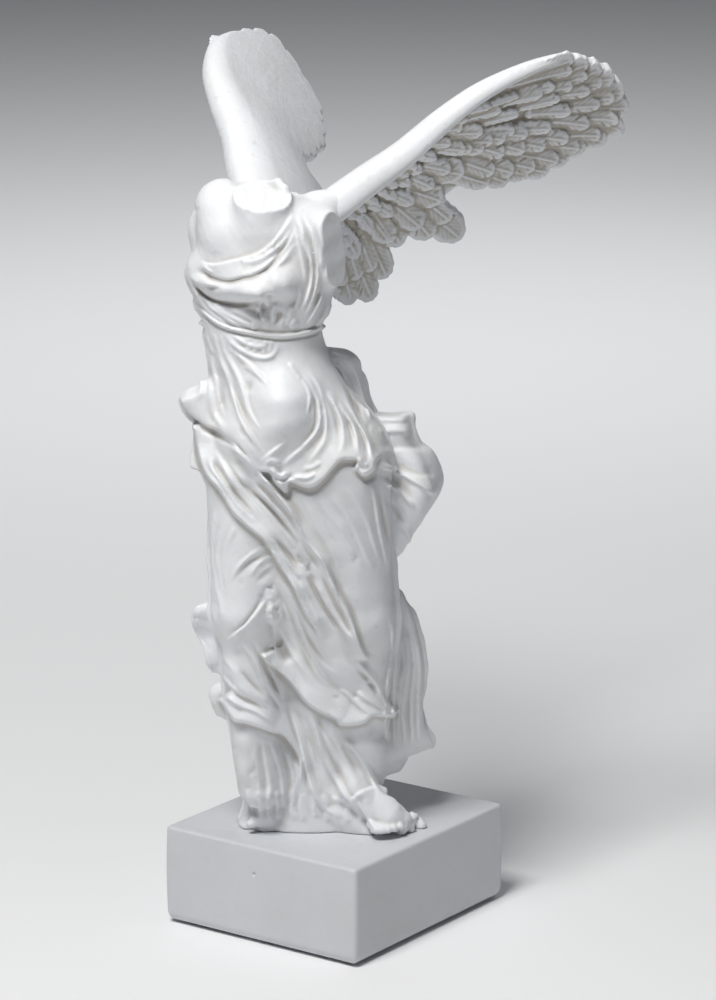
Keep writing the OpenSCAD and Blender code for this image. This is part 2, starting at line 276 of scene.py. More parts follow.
def hollows(block, pts, reach=2.6):
    """How sunken each point is, from -1 on an edge to 1 in a hollow: the field against its own blur."""
    f = np.clip(block.f, -4, 4)
    n = max(1, int(reach / block.gap))
    for ax in range(3):
        pad = [(0, 0)] * 3
        pad[ax] = (n + 1, n)
        c = np.cumsum(np.pad(f, pad, mode="edge"), axis=ax, dtype=np.float64)
        hi = [slice(None)] * 3
        lo = [slice(None)] * 3
        hi[ax], lo[ax] = slice(2 * n + 1, None), slice(0, -(2 * n + 1))
        f = ((c[tuple(hi)] - c[tuple(lo)]) / (2 * n + 1)).astype(np.float32)
    g = (pts - block.low) / block.gap
    i = np.clip(g.astype(int), 0, np.array(f.shape) - 2)
    d = g - i
    value = np.zeros(len(pts))
    for a in (0, 1):
        for b in (0, 1):
            for e in (0, 1):
                w = (np.abs(1 - a - d[:, 0])) * (np.abs(1 - b - d[:, 1])) * (np.abs(1 - e - d[:, 2]))
                value += w * f[i[:, 0] + a, i[:, 1] + b, i[:, 2] + e]
    return np.clip(-value / 0.9, -1, 1)


def mark_painted_shade(obj, value):
    # the stone materials darken their colour by this value: painted shade
    attribute = obj.data.attributes.new("hollow", "FLOAT", "POINT")
    attribute.data.foreach_set("value", value.astype(np.float32))


def add_mesh(name, pts, quads, tris=None, flip=False):
    mesh = bpy.data.meshes.new(name)
    tris = np.zeros((0, 3), np.int64) if tris is None else tris
    if flip:
        quads, tris = quads[:, ::-1], tris[:, ::-1]
    nq, nt = len(quads), len(tris)
    mesh.vertices.add(len(pts))
    mesh.vertices.foreach_set("co", (np.asarray(pts, np.float32) * MM).ravel())
    mesh.loops.add(nq * 4 + nt * 3)
    mesh.loops.foreach_set("vertex_index", np.concatenate([quads.ravel(), tris.ravel()]).astype(np.int32))
    mesh.polygons.add(nq + nt)
    starts = np.concatenate([np.arange(nq) * 4, nq * 4 + np.arange(nt) * 3]).astype(np.int32)
    mesh.polygons.foreach_set("loop_start", starts)
    mesh.polygons.foreach_set("use_smooth", np.ones(nq + nt, bool))
    mesh.update(calc_edges=True)
    mesh.validate()
    obj = bpy.data.objects.new(name, mesh)
    bpy.context.scene.collection.objects.link(obj)
    return obj


def add_block(name, block):
    """A piece from a block's surface, with its hollows marked for painted shade."""
    pts, quads, tris = block.mesh()
    obj = add_mesh(name, pts, quads, tris)
    mark_painted_shade(obj, hollows(block, pts))
    return obj


# ---------------------------------------------------------------- wing
# It is built in its own frame: u along, v down the blade and w out of its back.
SWEEP, RISE, ROLL = map(math.radians, (35.5, 23.5, 36.0))
_fall = np.array([math.sin(SWEEP) * math.sin(RISE), math.cos(SWEEP) * math.sin(RISE), -math.cos(RISE)])
_level = np.array([-math.cos(SWEEP), math.sin(SWEEP), 0.0])
WING_U = np.array([math.sin(SWEEP) * math.cos(RISE), math.cos(SWEEP) * math.cos(RISE), math.sin(RISE)])
WING_V = math.cos(ROLL) * _fall + math.sin(ROLL) * _level
WING_W = np.cross(WING_U, WING_V)
WING_ROOT = np.array([MID_X + 20.6, -26.0, TOP + 0.999 * BODY_H])
WING_SPAN = 127.0
BACK_LEVEL = 0.4                          # the back's feathers stand at this share of their drawn height
WING_HOLLOW_SHADE, WING_UNDERSIDE_SHADE = 1.5, 0.42       # the wings' extra painted shade: in hollows, and all over the underside, which faces away from the light
# the right wing is cupped and rolled a little more than the left
RIGHT_CHORD, RIGHT_CUP, RIGHT_DROP, RIGHT_ROLL = 1.08, 0.0022, 7.0, math.radians(15)

LEADING = spline([(-14, 5), (0, 2), (19, -2), (38, -5), (57, -11), (76, -15), (95, -14), (112, -10),
                  (122, -5), (127, 1)], 0.5)
TRAILING = spline([(-14, 44), (0, 48), (19, 52), (38, 46), (57, 36), (76, 36), (95, 40), (112, 42),
                   (127, 38), (134, 30)], 0.5)


def bar_radius(u):
    return np.interp(u, [-14, 0, 30, 60, 90, 115, 128], [8.5, 7.8, 6.4, 4.8, 3.4, 2.2, 1.4])


class Feathers:
    """Rows of feathers painted on a relief, each with a shaft, barbs and a lifted round tip."""

    def __init__(self, relief):
        self.r = relief
        self.shape = np.full(relief.ridge.shape, 40.0, np.float32)   # distance outside the outline

    def one(self, tip, length, width, angle, lift, base, rng, outline=False, shaft=1.0, bend=0.0):
        r = self.r
        ca, sa = math.cos(angle), math.sin(angle)
        root = np.array(tip) - length * np.array([ca, sa])
        sl = r.window(np.array([tip, root]), width)
        A, B = r.a[sl[0]][:, None], r.b[sl[1]][None, :]
        x, y = A - root[0], B - root[1]
        along = x * ca + y * sa
        across = -x * sa + y * ca
        way = along / length
        across = across - bend * length * (way ** 2 - 0.3)
        half = width / 2
        body = half * (0.62 + 0.38 * np.sin(np.clip(way, 0, 1) * math.pi * 0.75))
        tip_at = length - half
        inside = np.where(along > tip_at,
                          half - np.hypot(along - tip_at, across * (half / np.maximum(body, 0.1))),
                          body - np.abs(across))
        inside = np.minimum(inside, along + 1.0)
        ragged = 0.25 * np.sin(along * rng.uniform(1.3, 2.0) + rng.uniform(0, 6))
        inside = inside + ragged * (np.abs(across) > half * 0.4)
        rim = step(0.0, 0.8, inside)
        barbs = np.sin((along * 0.75 - np.abs(across) * 1.15) * 2 * math.pi / 2.3 + rng.uniform(0, 6))
        height = (base + lift * (1.7 * np.clip(way, 0, 1) ** 1.3)
                  + 0.85 * lift * (1 - np.clip(across / half, -1, 1) ** 2)
                  + shaft * 0.36 * np.exp(-(across / 0.5) ** 2) * step(1.02, 0.8, way)
                  - shaft * 0.24 * np.exp(-((np.abs(across) - 0.95) / 0.4) ** 2)
                  + 0.10 * shaft * barbs * step(0.4, 1.4, np.abs(across)))
        for _ in range(2):
            at, leg = rng.uniform(0.45, 0.85), rng.choice([-1, 1])
            notch = np.abs((along - at * length) - np.abs(across) * 1.1)
            height = height - 0.5 * lift * np.clip(1 - notch / 0.55, 0, 1) * (across * leg > half * 0.35)
        height = np.where(inside > 0, height * rim, 0)
        r.ridge[sl] = np.maximum(r.ridge[sl], height)
        if outline:
            self.shape[sl] = np.minimum(self.shape[sl], -inside)

    def row(self, tips, n, length, width, angle, lift, base=0.0, seed=1, outline=False, shaft=1.0, bend=0.0):
        """n feathers with their tips along a curve; length, width and angle run from first to last."""
        rng = np.random.default_rng(seed)
        c = spline(tips, 0.5)
        seg = np.concatenate([[0], np.cumsum(np.linalg.norm(np.diff(c, axis=0), axis=1))])
        for i in range(n):
            f = i / max(1, n - 1)
            at = np.array([np.interp(f * seg[-1], seg, c[:, k]) for k in (0, 1)])
            at = at + rng.uniform(-0.5, 0.5, 2)
            self.one(at, length[0] + (length[1] - length[0]) * f, width[0] + (width[1] - width[0]) * f,
                     math.radians(angle[0] + (angle[1] - angle[0]) * f + rng.uniform(-4, 4)),
                     lift * rng.uniform(0.9, 1.15), base, rng, outline, shaft, bend)


def wing_maps():
    gap = 0.3 * FINE
    under = Relief(-16, 152, -24, 84, gap)
    back = Relief(-16, 152, -24, 84, gap)
    fu, fb = Feathers(under), Feathers(back)
    # underside, from the trailing edge up to the leading edge
    fu.row([(121, -5), (129, 4), (135, 12), (139, 21), (141, 31), (140, 41), (131, 47), (119, 48)],
        9, (44, 46), (12, 13), (4, 34), 1.3, seed=3, outline=True)
    fu.row([(110, 50), (101, 50), (92, 46), (82, 44), (73, 39)], 5, (40, 30), (13, 12), (36, 46),
        1.3, seed=4, outline=True)
    fu.row([(55, 60), (38, 51), (29, 51)], 3, (34, 30), (16, 13), (62, 80), 1.4, seed=5, outline=True)
    fu.row([(20, 64), (10, 71), (0, 66), (-6, 60)], 4, (32, 26), (13, 12), (84, 98),
        1.4, seed=6, outline=True)
    fu.row([(119, -1), (128, 10), (134, 20), (136, 31), (133, 41), (121, 43), (109, 46), (97, 43), (85, 38),
        (76, 33)], 11, (30, 24), (9, 11), (8, 42), 1.5, base=0.5, seed=7, bend=0.05)
    fu.row([(110, 2), (120, 10), (127, 20), (128, 30), (117, 36), (104, 35), (92, 30), (82, 26)],
        9, (26, 20), (8.5, 10), (10, 40), 1.6, base=0.8, seed=8, bend=0.05)
    fu.row([(103, 4), (112, 13), (115, 22), (104, 25), (92, 22), (82, 18), (73, 18)], 7, (22, 18), (8, 10),
        (12, 34), 1.6, base=1.1, seed=9)
    fu.row([(52, 48), (39, 43), (26, 44)], 3, (22, 20), (13, 11), (58, 78), 1.5, base=0.7, seed=10)
    fu.row([(15, 56), (7, 56), (0, 55)], 3, (20, 16), (10, 8), (84, 92), 1.4, base=0.7, seed=11)
    fu.row([(63, 25), (51, 35), (38, 43), (20, 43), (9, 43)], 5, (20, 16), (15, 10), (34, 84),
        1.7, base=1.0, seed=12)
    fu.row([(84, 1), (92, 8), (90, 16), (78, 16), (68, 15)], 5, (22, 17), (7, 9), (8, 30),
        1.5, base=1.3, seed=13)
    fu.row([(74, 8), (64, 14), (56, 21), (46, 26), (36, 30), (26, 31), (16, 33), (8, 35)], 8, (15, 10),
        (10, 7), (20, 76), 1.4, base=1.5, seed=14)
    fu.row([(66, 0), (58, 6), (48, 12), (40, 18), (30, 22), (22, 24), (14, 26), (8, 28)], 9, (13, 8),
        (8, 5.5), (16, 66), 1.3, base=1.7, seed=15)
    fu.row([(48, 6), (42, 11), (34, 15), (27, 18), (20, 20), (13, 22), (7, 23)], 9, (9, 6.5), (6.5, 4.6),
        (18, 56), 1.2, base=1.9, seed=16, shaft=0.5)
    fu.row([(38, 6), (31, 10), (24, 13), (17, 15), (10, 18), (6, 19)], 9, (7, 5.5), (5.4, 4.2), (20, 48),
        1.1, base=2.0, seed=17, shaft=0.4)
    fu.row([(28, 6), (21, 9), (14, 11), (8, 14)], 7, (6, 5), (4.6, 4), (20, 40),
        1.0, base=2.0, seed=18, shaft=0.3)
    fu.row([(104, 1), (86, -3), (67, -3), (56, -1), (46, 1)], 6, (24, 13), (5, 6), (2, 12),
        1.3, base=1.6, seed=19)
    # back: long low feathers under a smooth skin
    for row, n, length, width, angle, lift, seed in (([(121, -5), (129, 4), (135, 12), (139, 21), (141, 31),
            (140, 41), (131, 47), (119, 48)], 9, (40, 36), (12, 13), (4, 32), 0.3, 23), ([(110, 50),
            (98, 49), (84, 45), (74, 40)], 5, (34, 28), (13, 12), (34, 44), 0.3, 24), ([(55, 60), (38, 51),
            (24, 54), (10, 71), (-3, 64)], 5, (38, 34), (15, 13), (60, 96), 0.3, 25), ([(110, 6), (118, 18),
            (112, 30), (96, 32), (80, 28), (62, 30), (46, 36), (30, 36), (14, 40)], 12, (34, 26), (10, 12),
            (8, 76), 0.12, 26)):
        fb.row(row, n, length, width, angle, lift, seed=seed, shaft=0.25)
    back.fan([(10, 4), (40, 2), (75, -4), (110, -2)], [(12, 34), (40, 30), (75, 26), (118, 28)],
        15, -0.18, 1.3, 0.5, seed=27)
    return under, back, fu.shape


UNDER, BACK_MAP, FEATHER_SHAPE = wing_maps()
UNDER_H, BACK_H = UNDER.total(), BACK_MAP.total() * BACK_LEVEL


def wing_local(u, v, w):
    """Distance to the wing's surface in its own frame."""
    le = np.interp(u, LEADING[:, 0], LEADING[:, 1])
    te = np.interp(u, TRAILING[:, 0], TRAILING[:, 1])
    c = np.clip((v - le) / np.maximum(te - le, 1), -0.3, 2.2)
    x = v - le
    chord = np.maximum(te - le, 1)
    r = bar_radius(u)
    crest = np.interp(u, [-10, 0, 60, 100, 128], [7.5, 7.5, 6.5, 4.5, 1.6])     # the back's smooth swell
    front = np.clip(1 - x / (2.2 * r), 0, 1)
    fall = np.clip((x - 2.2 * r) / np.maximum(chord - 2.2 * r, 1), 0, 1.6)
    top = crest - (crest + 0.5 * r) * (1 - np.sqrt(1 - front ** 2 * 0.998)) + (0.4 - crest) * fall ** 1.5
    top = top + UNDER.read(BACK_H, u, v)
    blade = 1.6 - 3.6 * np.clip(c, 0, 2) ** 2 - 1.3 + 0.5 * step(0.9, 1.6, c)
    low = blade - UNDER.read(UNDER_H, u, v)
    inside_bar = np.sqrt(np.clip(1 - ((x - 0.95 * r) / (0.95 * r)) ** 2, 0, 1))
    bar_low = np.where(x < 1.9 * r, 1.0 - 1.62 * r * inside_bar, 3.0)
    low = smin(low, bar_low + 6 * step(112, 127, u), 1.0)
    arm = np.maximum(np.maximum(le + 0.6 - v, v - te), u - (WING_SPAN + 1))
    outline = smin(arm, UNDER.read(FEATHER_SHAPE, u, v), 0.6)
    return smax(smax(w - top, low - w, 0.9), outline, 1.0)


def wing_mesh():
    """The wing in its own frame: points, quads, triangles and how much painted shade each point gets: more
    where it is sunken, and some over the whole underside.
    """
    gap = 0.5 * FINE
    spans = [np.arange(low, high, gap) for low, high in ((-13, 148), (-19, 78), (-17, 9))]
    block = Block([c[0] for c in spans], [c[-1] for c in spans], gap)
    X, Y, Z = np.meshgrid(*block.axis, indexing="ij")
    f = wing_local(X.ravel(), Y.ravel(), Z.ravel()).reshape(X.shape)
    root = -(X + 5.0)
    block.f = smax(f, root, 1.0).astype(np.float32)
    pts, quads, tris = block.mesh()
    i, j, k = (np.clip(((pts[:, n] - c[0]) / gap).astype(int), 3, len(c) - 4)
               for n, c in enumerate(block.axis))
    # faces that look down, the wing's underside, get painted shade all over
    slope = block.f[i, j, k - 2] - block.f[i, j, k + 2]
    below = step(0.3, 1.0, slope / (4 * gap))
    return pts, quads, tris, hollows(block, pts, 2.2) * WING_HOLLOW_SHADE + WING_UNDERSIDE_SHADE * below


def mirrored(p):
    """The same places on the other side of the body."""
    return p * np.array([-1, 1, 1]) + np.array([2 * MID_X, 0, 0])


def wing_place(u, v, w, side=1):
    p = WING_ROOT + u * WING_U + v * WING_V + w * WING_W
    return p if side > 0 else mirrored(p)


def wing_world(p):
    """Rows of u, v, w as places in the scene."""
    return WING_ROOT + p[:, :1] * WING_U + p[:, 1:2] * WING_V + p[:, 2:3] * WING_W


def right_shape(p):
    """The left wing's points, reshaped for the right wing and still in the wing's own frame."""
    u, v, w = p.T.copy()
    v = v * RIGHT_CHORD - 1.0
    u *= (1.02 + 0.085 * np.exp(-((v - 22) / 17) ** 2)
          - 0.07 * np.exp(-((v + 14) / 10) ** 2) * np.clip(u / WING_SPAN, 0, 1) ** 4)
    w -= RIGHT_CUP * np.clip(v - 6, 0, 60) ** 2
    w -= RIGHT_DROP * np.clip(u / WING_SPAN, 0, 1.2) ** 1.6
    c, s = math.cos(RIGHT_ROLL), math.sin(RIGHT_ROLL)
    return np.column_stack([u, v * c - w * s, v * s + w * c])


# ---------------------------------------------------------------- figure
ROWS = np.array([   # height share, x, y, half width, half depth, turn
    [0.000, -4.5, -13, 28, 18, 35], [0.040, -4, -13.5, 27.5, 17, 35], [0.120, -3, -13.5, 28, 17, 35],
    [0.215, -1, -13, 31, 21, 32], [0.300, 0, -14, 32, 24, 28], [0.370, -1, -18, 34, 26, 24],
    [0.450, -2, -22, 36, 28, 20], [0.530, -2, -24, 37, 30, 16], [0.605, -2, -26, 39, 30, 12],
    [0.665, -3, -29, 35, 27, 8], [0.720, -6, -33, 28, 24, 4], [0.765, -9, -36, 26, 21, 0],
    [0.800, -10, -37, 27, 21, 0], [0.835, -10, -37, 30, 22, 0], [0.875, -10, -37, 31, 23, 0],
    [0.915, -10, -36, 31, 22, 0], [0.950, -10, -36, 29, 18, 0], [0.978, -10, -36, 24, 13, 0],
    [0.992, -10, -36, 15, 9, 0]], float)


def body_distance(block):
    """The body's main form: turned ellipses, smooth from row to row."""
    z = (block.axis[2] - TOP) / BODY_H
    cols = []
    fine = spline(np.column_stack([ROWS[:, 0] * 200, ROWS[:, 1:]]), 1.0)
    for c in range(1, 6):
        cols.append(np.interp(z * 200, fine[:, 0], fine[:, c]))
    x0, y0, a, b, turn = cols
    turn = np.radians(turn)
    X, Y, _ = block.places((slice(None),) * 3)
    x, y = X - x0, Y - y0
    p = x * np.cos(turn) + y * np.sin(turn)
    q = -x * np.sin(turn) + y * np.cos(turn)
    r = np.sqrt((p / a) ** 2 + (q / b) ** 2)
    r = np.maximum(r, 0.05)
    f = np.hypot(p, q) * (1 - 1 / r)
    Z = block.axis[2][None, None, :]
    f = np.maximum(f, Z - (TOP + 0.992 * BODY_H))
    f = np.maximum(f, (TOP - 0.5) - Z)
    return f.astype(np.float32)


def front_map():
    """The figure's front: height of the cloth and the flesh, drawn as seen from the quarter view."""
    m = Relief(-80, 75, 25, 335, 0.32 * FINE)
    R, G, L = m.stroke, m.stroke, m.lip
    # ---- shoulder, neckline and chest
    L(1.3, 6, [(-57, 276), (-51.2, 273.7), (-44, 274.4), (-36.5, 276.8), (-30, 280), (-24, 284.5),
        (-20, 290), (-17.5, 296)][::-1], 0.6)
    G(-2.6, 1.6, [(-17, 286), (-20, 281), (-26, 275), (-33.4, 269.4), (-38, 268), (-44, 266.6),
        (-51, 268.6), (-56.5, 273.4)], (0.25, 0.15))
    R(1.9, 2.0, [(-15.5, 290), (-18.6, 282), (-24, 277), (-33.4, 271.4), (-38.6, 270), (-44, 268.8),
        (-51, 270.8), (-56, 275)], (0.2, 0.1))
    R(1.2, 1.5, [(-17, 289), (-21, 283), (-27, 279), (-34, 275.6), (-41, 273.4)])
    R(1.5, 1.9, [(-15, 284), (-20, 277), (-26, 272.4), (-31, 270)])
    # her right breast with the pouch of cloth under it, and her left breast
    R(4.2, 8.5, [(-46, 264), (-38, 262.6), (-31, 262)], (0, 0))
    R(3.6, 8.5, [(-24, 266.5), (-21, 266)], (0, 0))
    G(-3.0, 2.0, [(-59, 268), (-55, 262.4), (-51, 259.4), (-44, 257.6), (-38, 257.2), (-33, 258)],
        (0.2, 0.15))
    L(2.2, 7, [(-60, 270), (-55, 263.6), (-51, 260.6), (-44, 259), (-38, 258.4), (-32.4, 259.4),
        (-28, 262)], 0.8)
    for s, t, q in ((-52, 273.5, 2), (-48.5, 272.6, 3), (-44, 273.2, 2), (-39, 275, 3), (-34.5, 276.6, 2.4),
            (-30, 279, 3), (-26, 281.8, 2.4)):
        R(0.8, 0.9, [(s, t + 1.4), (s + 0.6, t - 0.6), (s + 1.2, t - q)])
    # straps that gather over her left shoulder and run down beside the breast
    for pts, h, w in (([(-16.5, 296), (-14, 290), (-12.4, 283), (-10, 275), (-9.4, 268), (-11.6, 260),
            (-15, 253)], 1.9, 1.6), ([(-13.6, 296), (-10.4, 289), (-8, 281), (-7.2, 273), (-7.6, 266),
            (-10.4, 257), (-13, 250)], 1.6, 1.5), ([(-17, 291), (-15, 284), (-13.4, 277), (-12.4, 270),
            (-13, 264)], 1.3, 1.3), ([(-11, 293), (-7.6, 284), (-5.6, 275), (-5.6, 268)], 1.2, 1.4),
            ([(-4, 263), (-7, 257), (-10, 251.4), (-12, 247)], 1.3, 1.2), ([(-2, 259), (-5, 253),
            (-8.6, 247.4)], 1.2, 1.1), ([(-14.6, 266), (-15, 260), (-17.4, 253.6)], 1.1, 1.2)):
        R(h, w, pts)
    for pts in ([(-14.6, 290), (-11.4, 279), (-10.8, 270), (-12.6, 261)], [(-11, 289), (-8.8, 279),
            (-8.4, 270), (-10.6, 260), (-13.6, 252.6)], [(-6, 264), (-9.6, 255.6)]):
        G(-1.5, 0.8, pts)
    # fine diagonal folds and small bunches above the belt
    for pts, h, w in (([(-58.6, 265), (-56, 258), (-51.2, 253.2), (-45, 249.6), (-41.8, 247.8)], 1.3, 1.1),
            ([(-55.4, 262), (-52, 256.6), (-47, 253.2), (-41, 249.4), (-36.5, 247)], 1.3, 1.1),
            ([(-51.2, 257.6), (-46, 254), (-40.7, 251.2), (-35, 248.4), (-31.2, 247.4)], 1.3, 1.2),
            ([(-43.9, 255.6), (-36.5, 252.4), (-31, 249.6), (-29, 248.4)], 1.3, 1.2), ([(-57, 261),
            (-54, 256), (-49, 251.6)], 1.0, 1.0), ([(-33.4, 257.6), (-30.4, 253.6), (-29, 249)], 1.8, 1.5),
            ([(-23.9, 258.6), (-26, 253.6), (-24.6, 249)], 2.0, 1.7), ([(-17.6, 257.4), (-18.6, 252.6),
            (-20.6, 248)], 2.0, 1.6), ([(-28.6, 260), (-28, 256)], 1.4, 1.5)):
        R(h, w, pts)
    for s, t in ((-27.4, 249.4), (-21.6, 249.6), (-16.6, 249.6), (-33, 249.2)):
        R(1.7, 2.0, [(s, t), (s - 0.6, t - 0.8)], (0, 0))
    for pts, h, w in (([(-28, 258.6), (-30, 255.4), (-32.4, 252)], -2.0, 1.5), ([(-22.4, 254.8),
            (-23.6, 251.6), (-25, 248.8)], -1.7, 1.3), ([(-16.6, 256), (-18.6, 252.4), (-20.6, 249)],
            -1.3, 1.2), ([(-37.6, 256), (-34, 254.4), (-31, 253)], -1.0, 1.3)):
        G(h, w, pts, (0.3, 0.35))
    m.fan([(-27, 270), (-30, 262), (-31, 256)], [(-17, 270), (-19, 262), (-20, 256)], 4, 0.5, 1.0, seed=32)
    # ---- belt
    belt = [(-58, 257), (-54.4, 253.7), (-47, 249), (-36.5, 245.8), (-26, 243.9), (-15.5, 244.2),
        (-8, 246.6), (-4, 250)]
    R(1.7, 1.0, belt, (0.12, 0.12))
    G(-1.1, 0.7, [(s, t + 1.5) for s, t in belt], (0.03, 0.1))
    G(-1.1, 0.7, [(s, t - 1.5) for s, t in belt], (0.03, 0.1))
    # ---- waist and belly
    for pts, h, w in (([(-46, 246), (-42, 241), (-38, 237.5), (-32, 235), (-26, 236), (-22, 241.5)],
            1.5, 1.5), ([(-43, 245.5), (-37, 241), (-31, 239.5), (-26, 242)], 1.3, 1.3), ([(-49, 241),
            (-47, 233), (-44, 225), (-42, 218), (-40, 212), (-37, 206), (-33, 200), (-28, 194)], 1.6, 1.7),
            ([(-46, 242), (-44, 235), (-41, 228), (-38, 220), (-36, 214), (-32, 208), (-28, 203),
            (-25, 199)], 1.4, 1.6), ([(-43, 240), (-40, 236), (-36, 232), (-32, 228), (-28, 224),
            (-24, 221), (-20, 219)], 1.4, 1.5), ([(-38, 232), (-34, 229), (-30, 226)], 1.0, 1.3),
            ([(-52, 238), (-51, 230), (-49, 222), (-47, 214)], 1.2, 1.5), ([(-55, 238), (-56, 230),
            (-56, 223), (-57, 217)], 1.6, 1.8), ([(-53, 228), (-52, 220), (-50, 212), (-46, 205)],
            1.3, 1.6), ([(-19, 234), (-16.6, 230), (-13, 225)], 1.2, 1.2)):
        R(h, w, pts)
    m.fan([(-54, 246), (-52, 240), (-50, 234)], [(-26, 243), (-27, 240), (-28, 236)], 9, 0.7, 1.1, seed=34)
    R(3.6, 13, [(-22, 217), (-21, 210)], (0, 0))
    G(-1.1, 2.0, [(-35, 223.6), (-35, 222.4)], (0, 0))
    for pts, h in (([(-18, 231), (-15, 227.5), (-12, 224), (-10.6, 220), (-11, 216), (-12, 212), (-13, 208),
            (-15, 205), (-18, 202), (-25, 197), (-33, 191)], 1.5), ([(-20, 229), (-17, 225), (-15.5, 220),
            (-16, 213), (-19, 207), (-24, 202.5), (-30, 199)], 1.1), ([(-14.5, 230), (-11, 226), (-9, 222),
            (-6.5, 214), (-7, 206), (-12, 199), (-19, 193), (-24, 190)], 1.5), ([(-12, 231), (-7.5, 225),
            (-4.5, 218), (-3, 210), (-4, 202), (-8, 195), (-12, 190)], 1.5), ([(-4, 222), (-1, 218),
            (1, 214), (2.5, 210), (3, 205), (3, 200), (2, 195)], 1.5), ([(0, 218), (3.5, 214), (6, 210),
            (8, 205), (9, 200), (9.4, 195)], 1.5), ([(4, 218), (8, 213), (11, 207), (13.5, 202), (15, 197),
            (15.5, 192)], 1.6), ([(-23, 227), (-26, 219), (-28, 211), (-30, 205)], 0.8)):
        R(h, 1.6, pts)
    for pts in ([(-12.6, 228), (-8.2, 220), (-8.6, 207), (-14, 199)], [(-9.5, 228), (-4, 217), (-2.6, 206),
            (-6, 198)], [(-3.5, 219), (0.2, 211), (1, 200)], [(2, 215), (6, 206), (6.4, 196)], [(7, 212),
            (12, 202), (12.6, 194)], [(-47, 234), (-42, 221), (-37, 210), (-31, 201)], [(-50, 228),
            (-47.5, 219), (-45, 211)]):
        G(-1.5, 1.2, pts)
    R(1.3, 1.3, [(-1.6, 238), (2, 236.8), (6, 235), (8.8, 229), (10.6, 222), (13.4, 215), (16, 209)],
        (0.05, 0.1))
    G(-2.2, 1.6, [(-1, 234), (3.4, 230), (6.4, 223.6), (9, 216), (12, 209)], (0.1, 0.2))
    # ---- overfold hem, ragged, over the thighs
    hem = [(-64, 219), (-61.5, 214), (-57, 210), (-52, 207), (-49, 206), (-45, 203), (-41.5, 200.5),
        (-38, 197), (-33, 190), (-30, 188.5), (-27, 188), (-25, 184), (-22.5, 181.5), (-20, 180),
        (-19, 184), (-17.5, 184.5), (-14, 183), (-11, 182.4), (-8, 183), (-4, 186), (-1, 189.5), (1, 192),
        (3, 193.4), (6, 193.6), (9, 193), (8.6, 190), (10, 188), (12, 187), (14.5, 188.4), (16, 190),
        (17, 193), (20, 196)]
    L(3.4, 13, hem, 0.8, (0.02, 0.04))
    G(-1.6, 2.2, [(s + 0.6, t - 2.6) for s, t in hem], (0.1, 0.1))
    for pts, h in (([(-27, 190), (-24, 187), (-21, 186.4), (-18.6, 188)], 1.5), ([(-24.6, 184.6),
            (-22, 183), (-20.4, 183.4)], 1.3), ([(-18, 187), (-15, 186), (-11, 185.6), (-7, 187.6)], 1.3),
            ([(-13, 189), (-9, 189.6), (-5, 192)], 1.0), ([(9, 194), (11.4, 191), (14, 190.6)], 1.4),
            ([(-29, 191), (-26, 193), (-22, 191)], 1.0)):
        R(h, 1.4, pts)
    G(-1.6, 1.3, [(-23, 185), (-20.6, 184.6), (-17, 186.4), (-13, 186.6)])
    # ---- the rolled cloak across the thighs, down to the right
    lower = [(-59, 208), (-57, 203), (-55, 192), (-52, 186), (-48, 181.5), (-42, 172), (-38.5, 168.4),
        (-35, 165), (-30, 161), (-27, 157), (-23, 151), (-18, 143), (-12, 130), (-8, 124), (-5, 118)]
    upper = [(-52, 206), (-44, 202), (-36, 193), (-28, 184), (-23, 178.5), (-18, 172), (-12, 160),
        (-5, 150), (0, 140), (6, 130), (10, 118), (14, 110)]
    L(4.6, 9, lower[::-1][::-1], 0.9, (0.02, 0.08))
    L(3.4, 7, upper[::-1], 0.9, (0.03, 0.1))
    for pts, h, w in (([(-50, 198), (-46, 190), (-42, 183), (-38, 177), (-33, 170.5), (-25, 160.5),
            (-18, 152)], 2.6, 2.3), ([(-46, 195), (-41, 188), (-36, 182), (-28, 176), (-20, 167),
            (-13, 156.5), (-8, 148)], 2.3, 2.2), ([(-52, 196), (-51, 190), (-47, 184.5), (-43, 178.5),
            (-38, 172.5), (-32, 166.5)], 1.7, 1.8), ([(-38, 193), (-33, 188.5), (-25, 180), (-17, 169.5),
            (-10, 158.5), (-3, 147.5), (2, 139)], 2.3, 2.1), ([(-44, 199.5), (-38, 193.5), (-31, 185.5)],
            1.8, 1.8), ([(-29, 164), (-23, 157), (-17, 148.5), (-13, 141)], 1.7, 1.7), ([(-16, 146),
            (-12, 138), (-8, 130), (-3.5, 122)], 1.8, 1.8), ([(-10, 145), (-6, 138), (-2, 131), (4, 122),
            (9, 115.5)], 2.0, 1.9), ([(-4, 146), (0, 139), (4, 131), (8, 122), (11.5, 114)], 1.8, 1.8)):
        R(h, w, pts)
    for pts, h, w in (([(-45, 186), (-42, 180.5), (-35, 172.5), (-27, 163), (-18, 152.4), (-14, 145)],
            -3.2, 1.6), ([(-40, 185), (-34, 180), (-26, 172), (-18, 163), (-12, 155)], -3.0, 1.5),
            ([(-34, 184.5), (-26, 176), (-18, 166), (-11, 154), (-6, 146)], -2.4, 1.4), ([(-51, 193.5),
            (-46.6, 185.4), (-40.6, 176.5), (-33, 168)], -2.0, 1.3), ([(-12, 146), (-8, 138.5), (-4, 131),
            (1, 122.5)], -1.4, 1.7), ([(-6, 145), (-1.6, 137), (2, 130), (7, 120)], -1.2, 1.6)):
        G(h, w, pts, (0.15, 0.15))
    rng = np.random.default_rng(41)
    for _ in range(9):
        s, t = rng.uniform(-17, -10), rng.uniform(148, 156)
        G(-rng.uniform(0.7, 1.4), rng.uniform(0.6, 1.0), [(s, t), (s + rng.uniform(0, 1.4),
            t - rng.uniform(0.8, 2.4))], (0, 0))
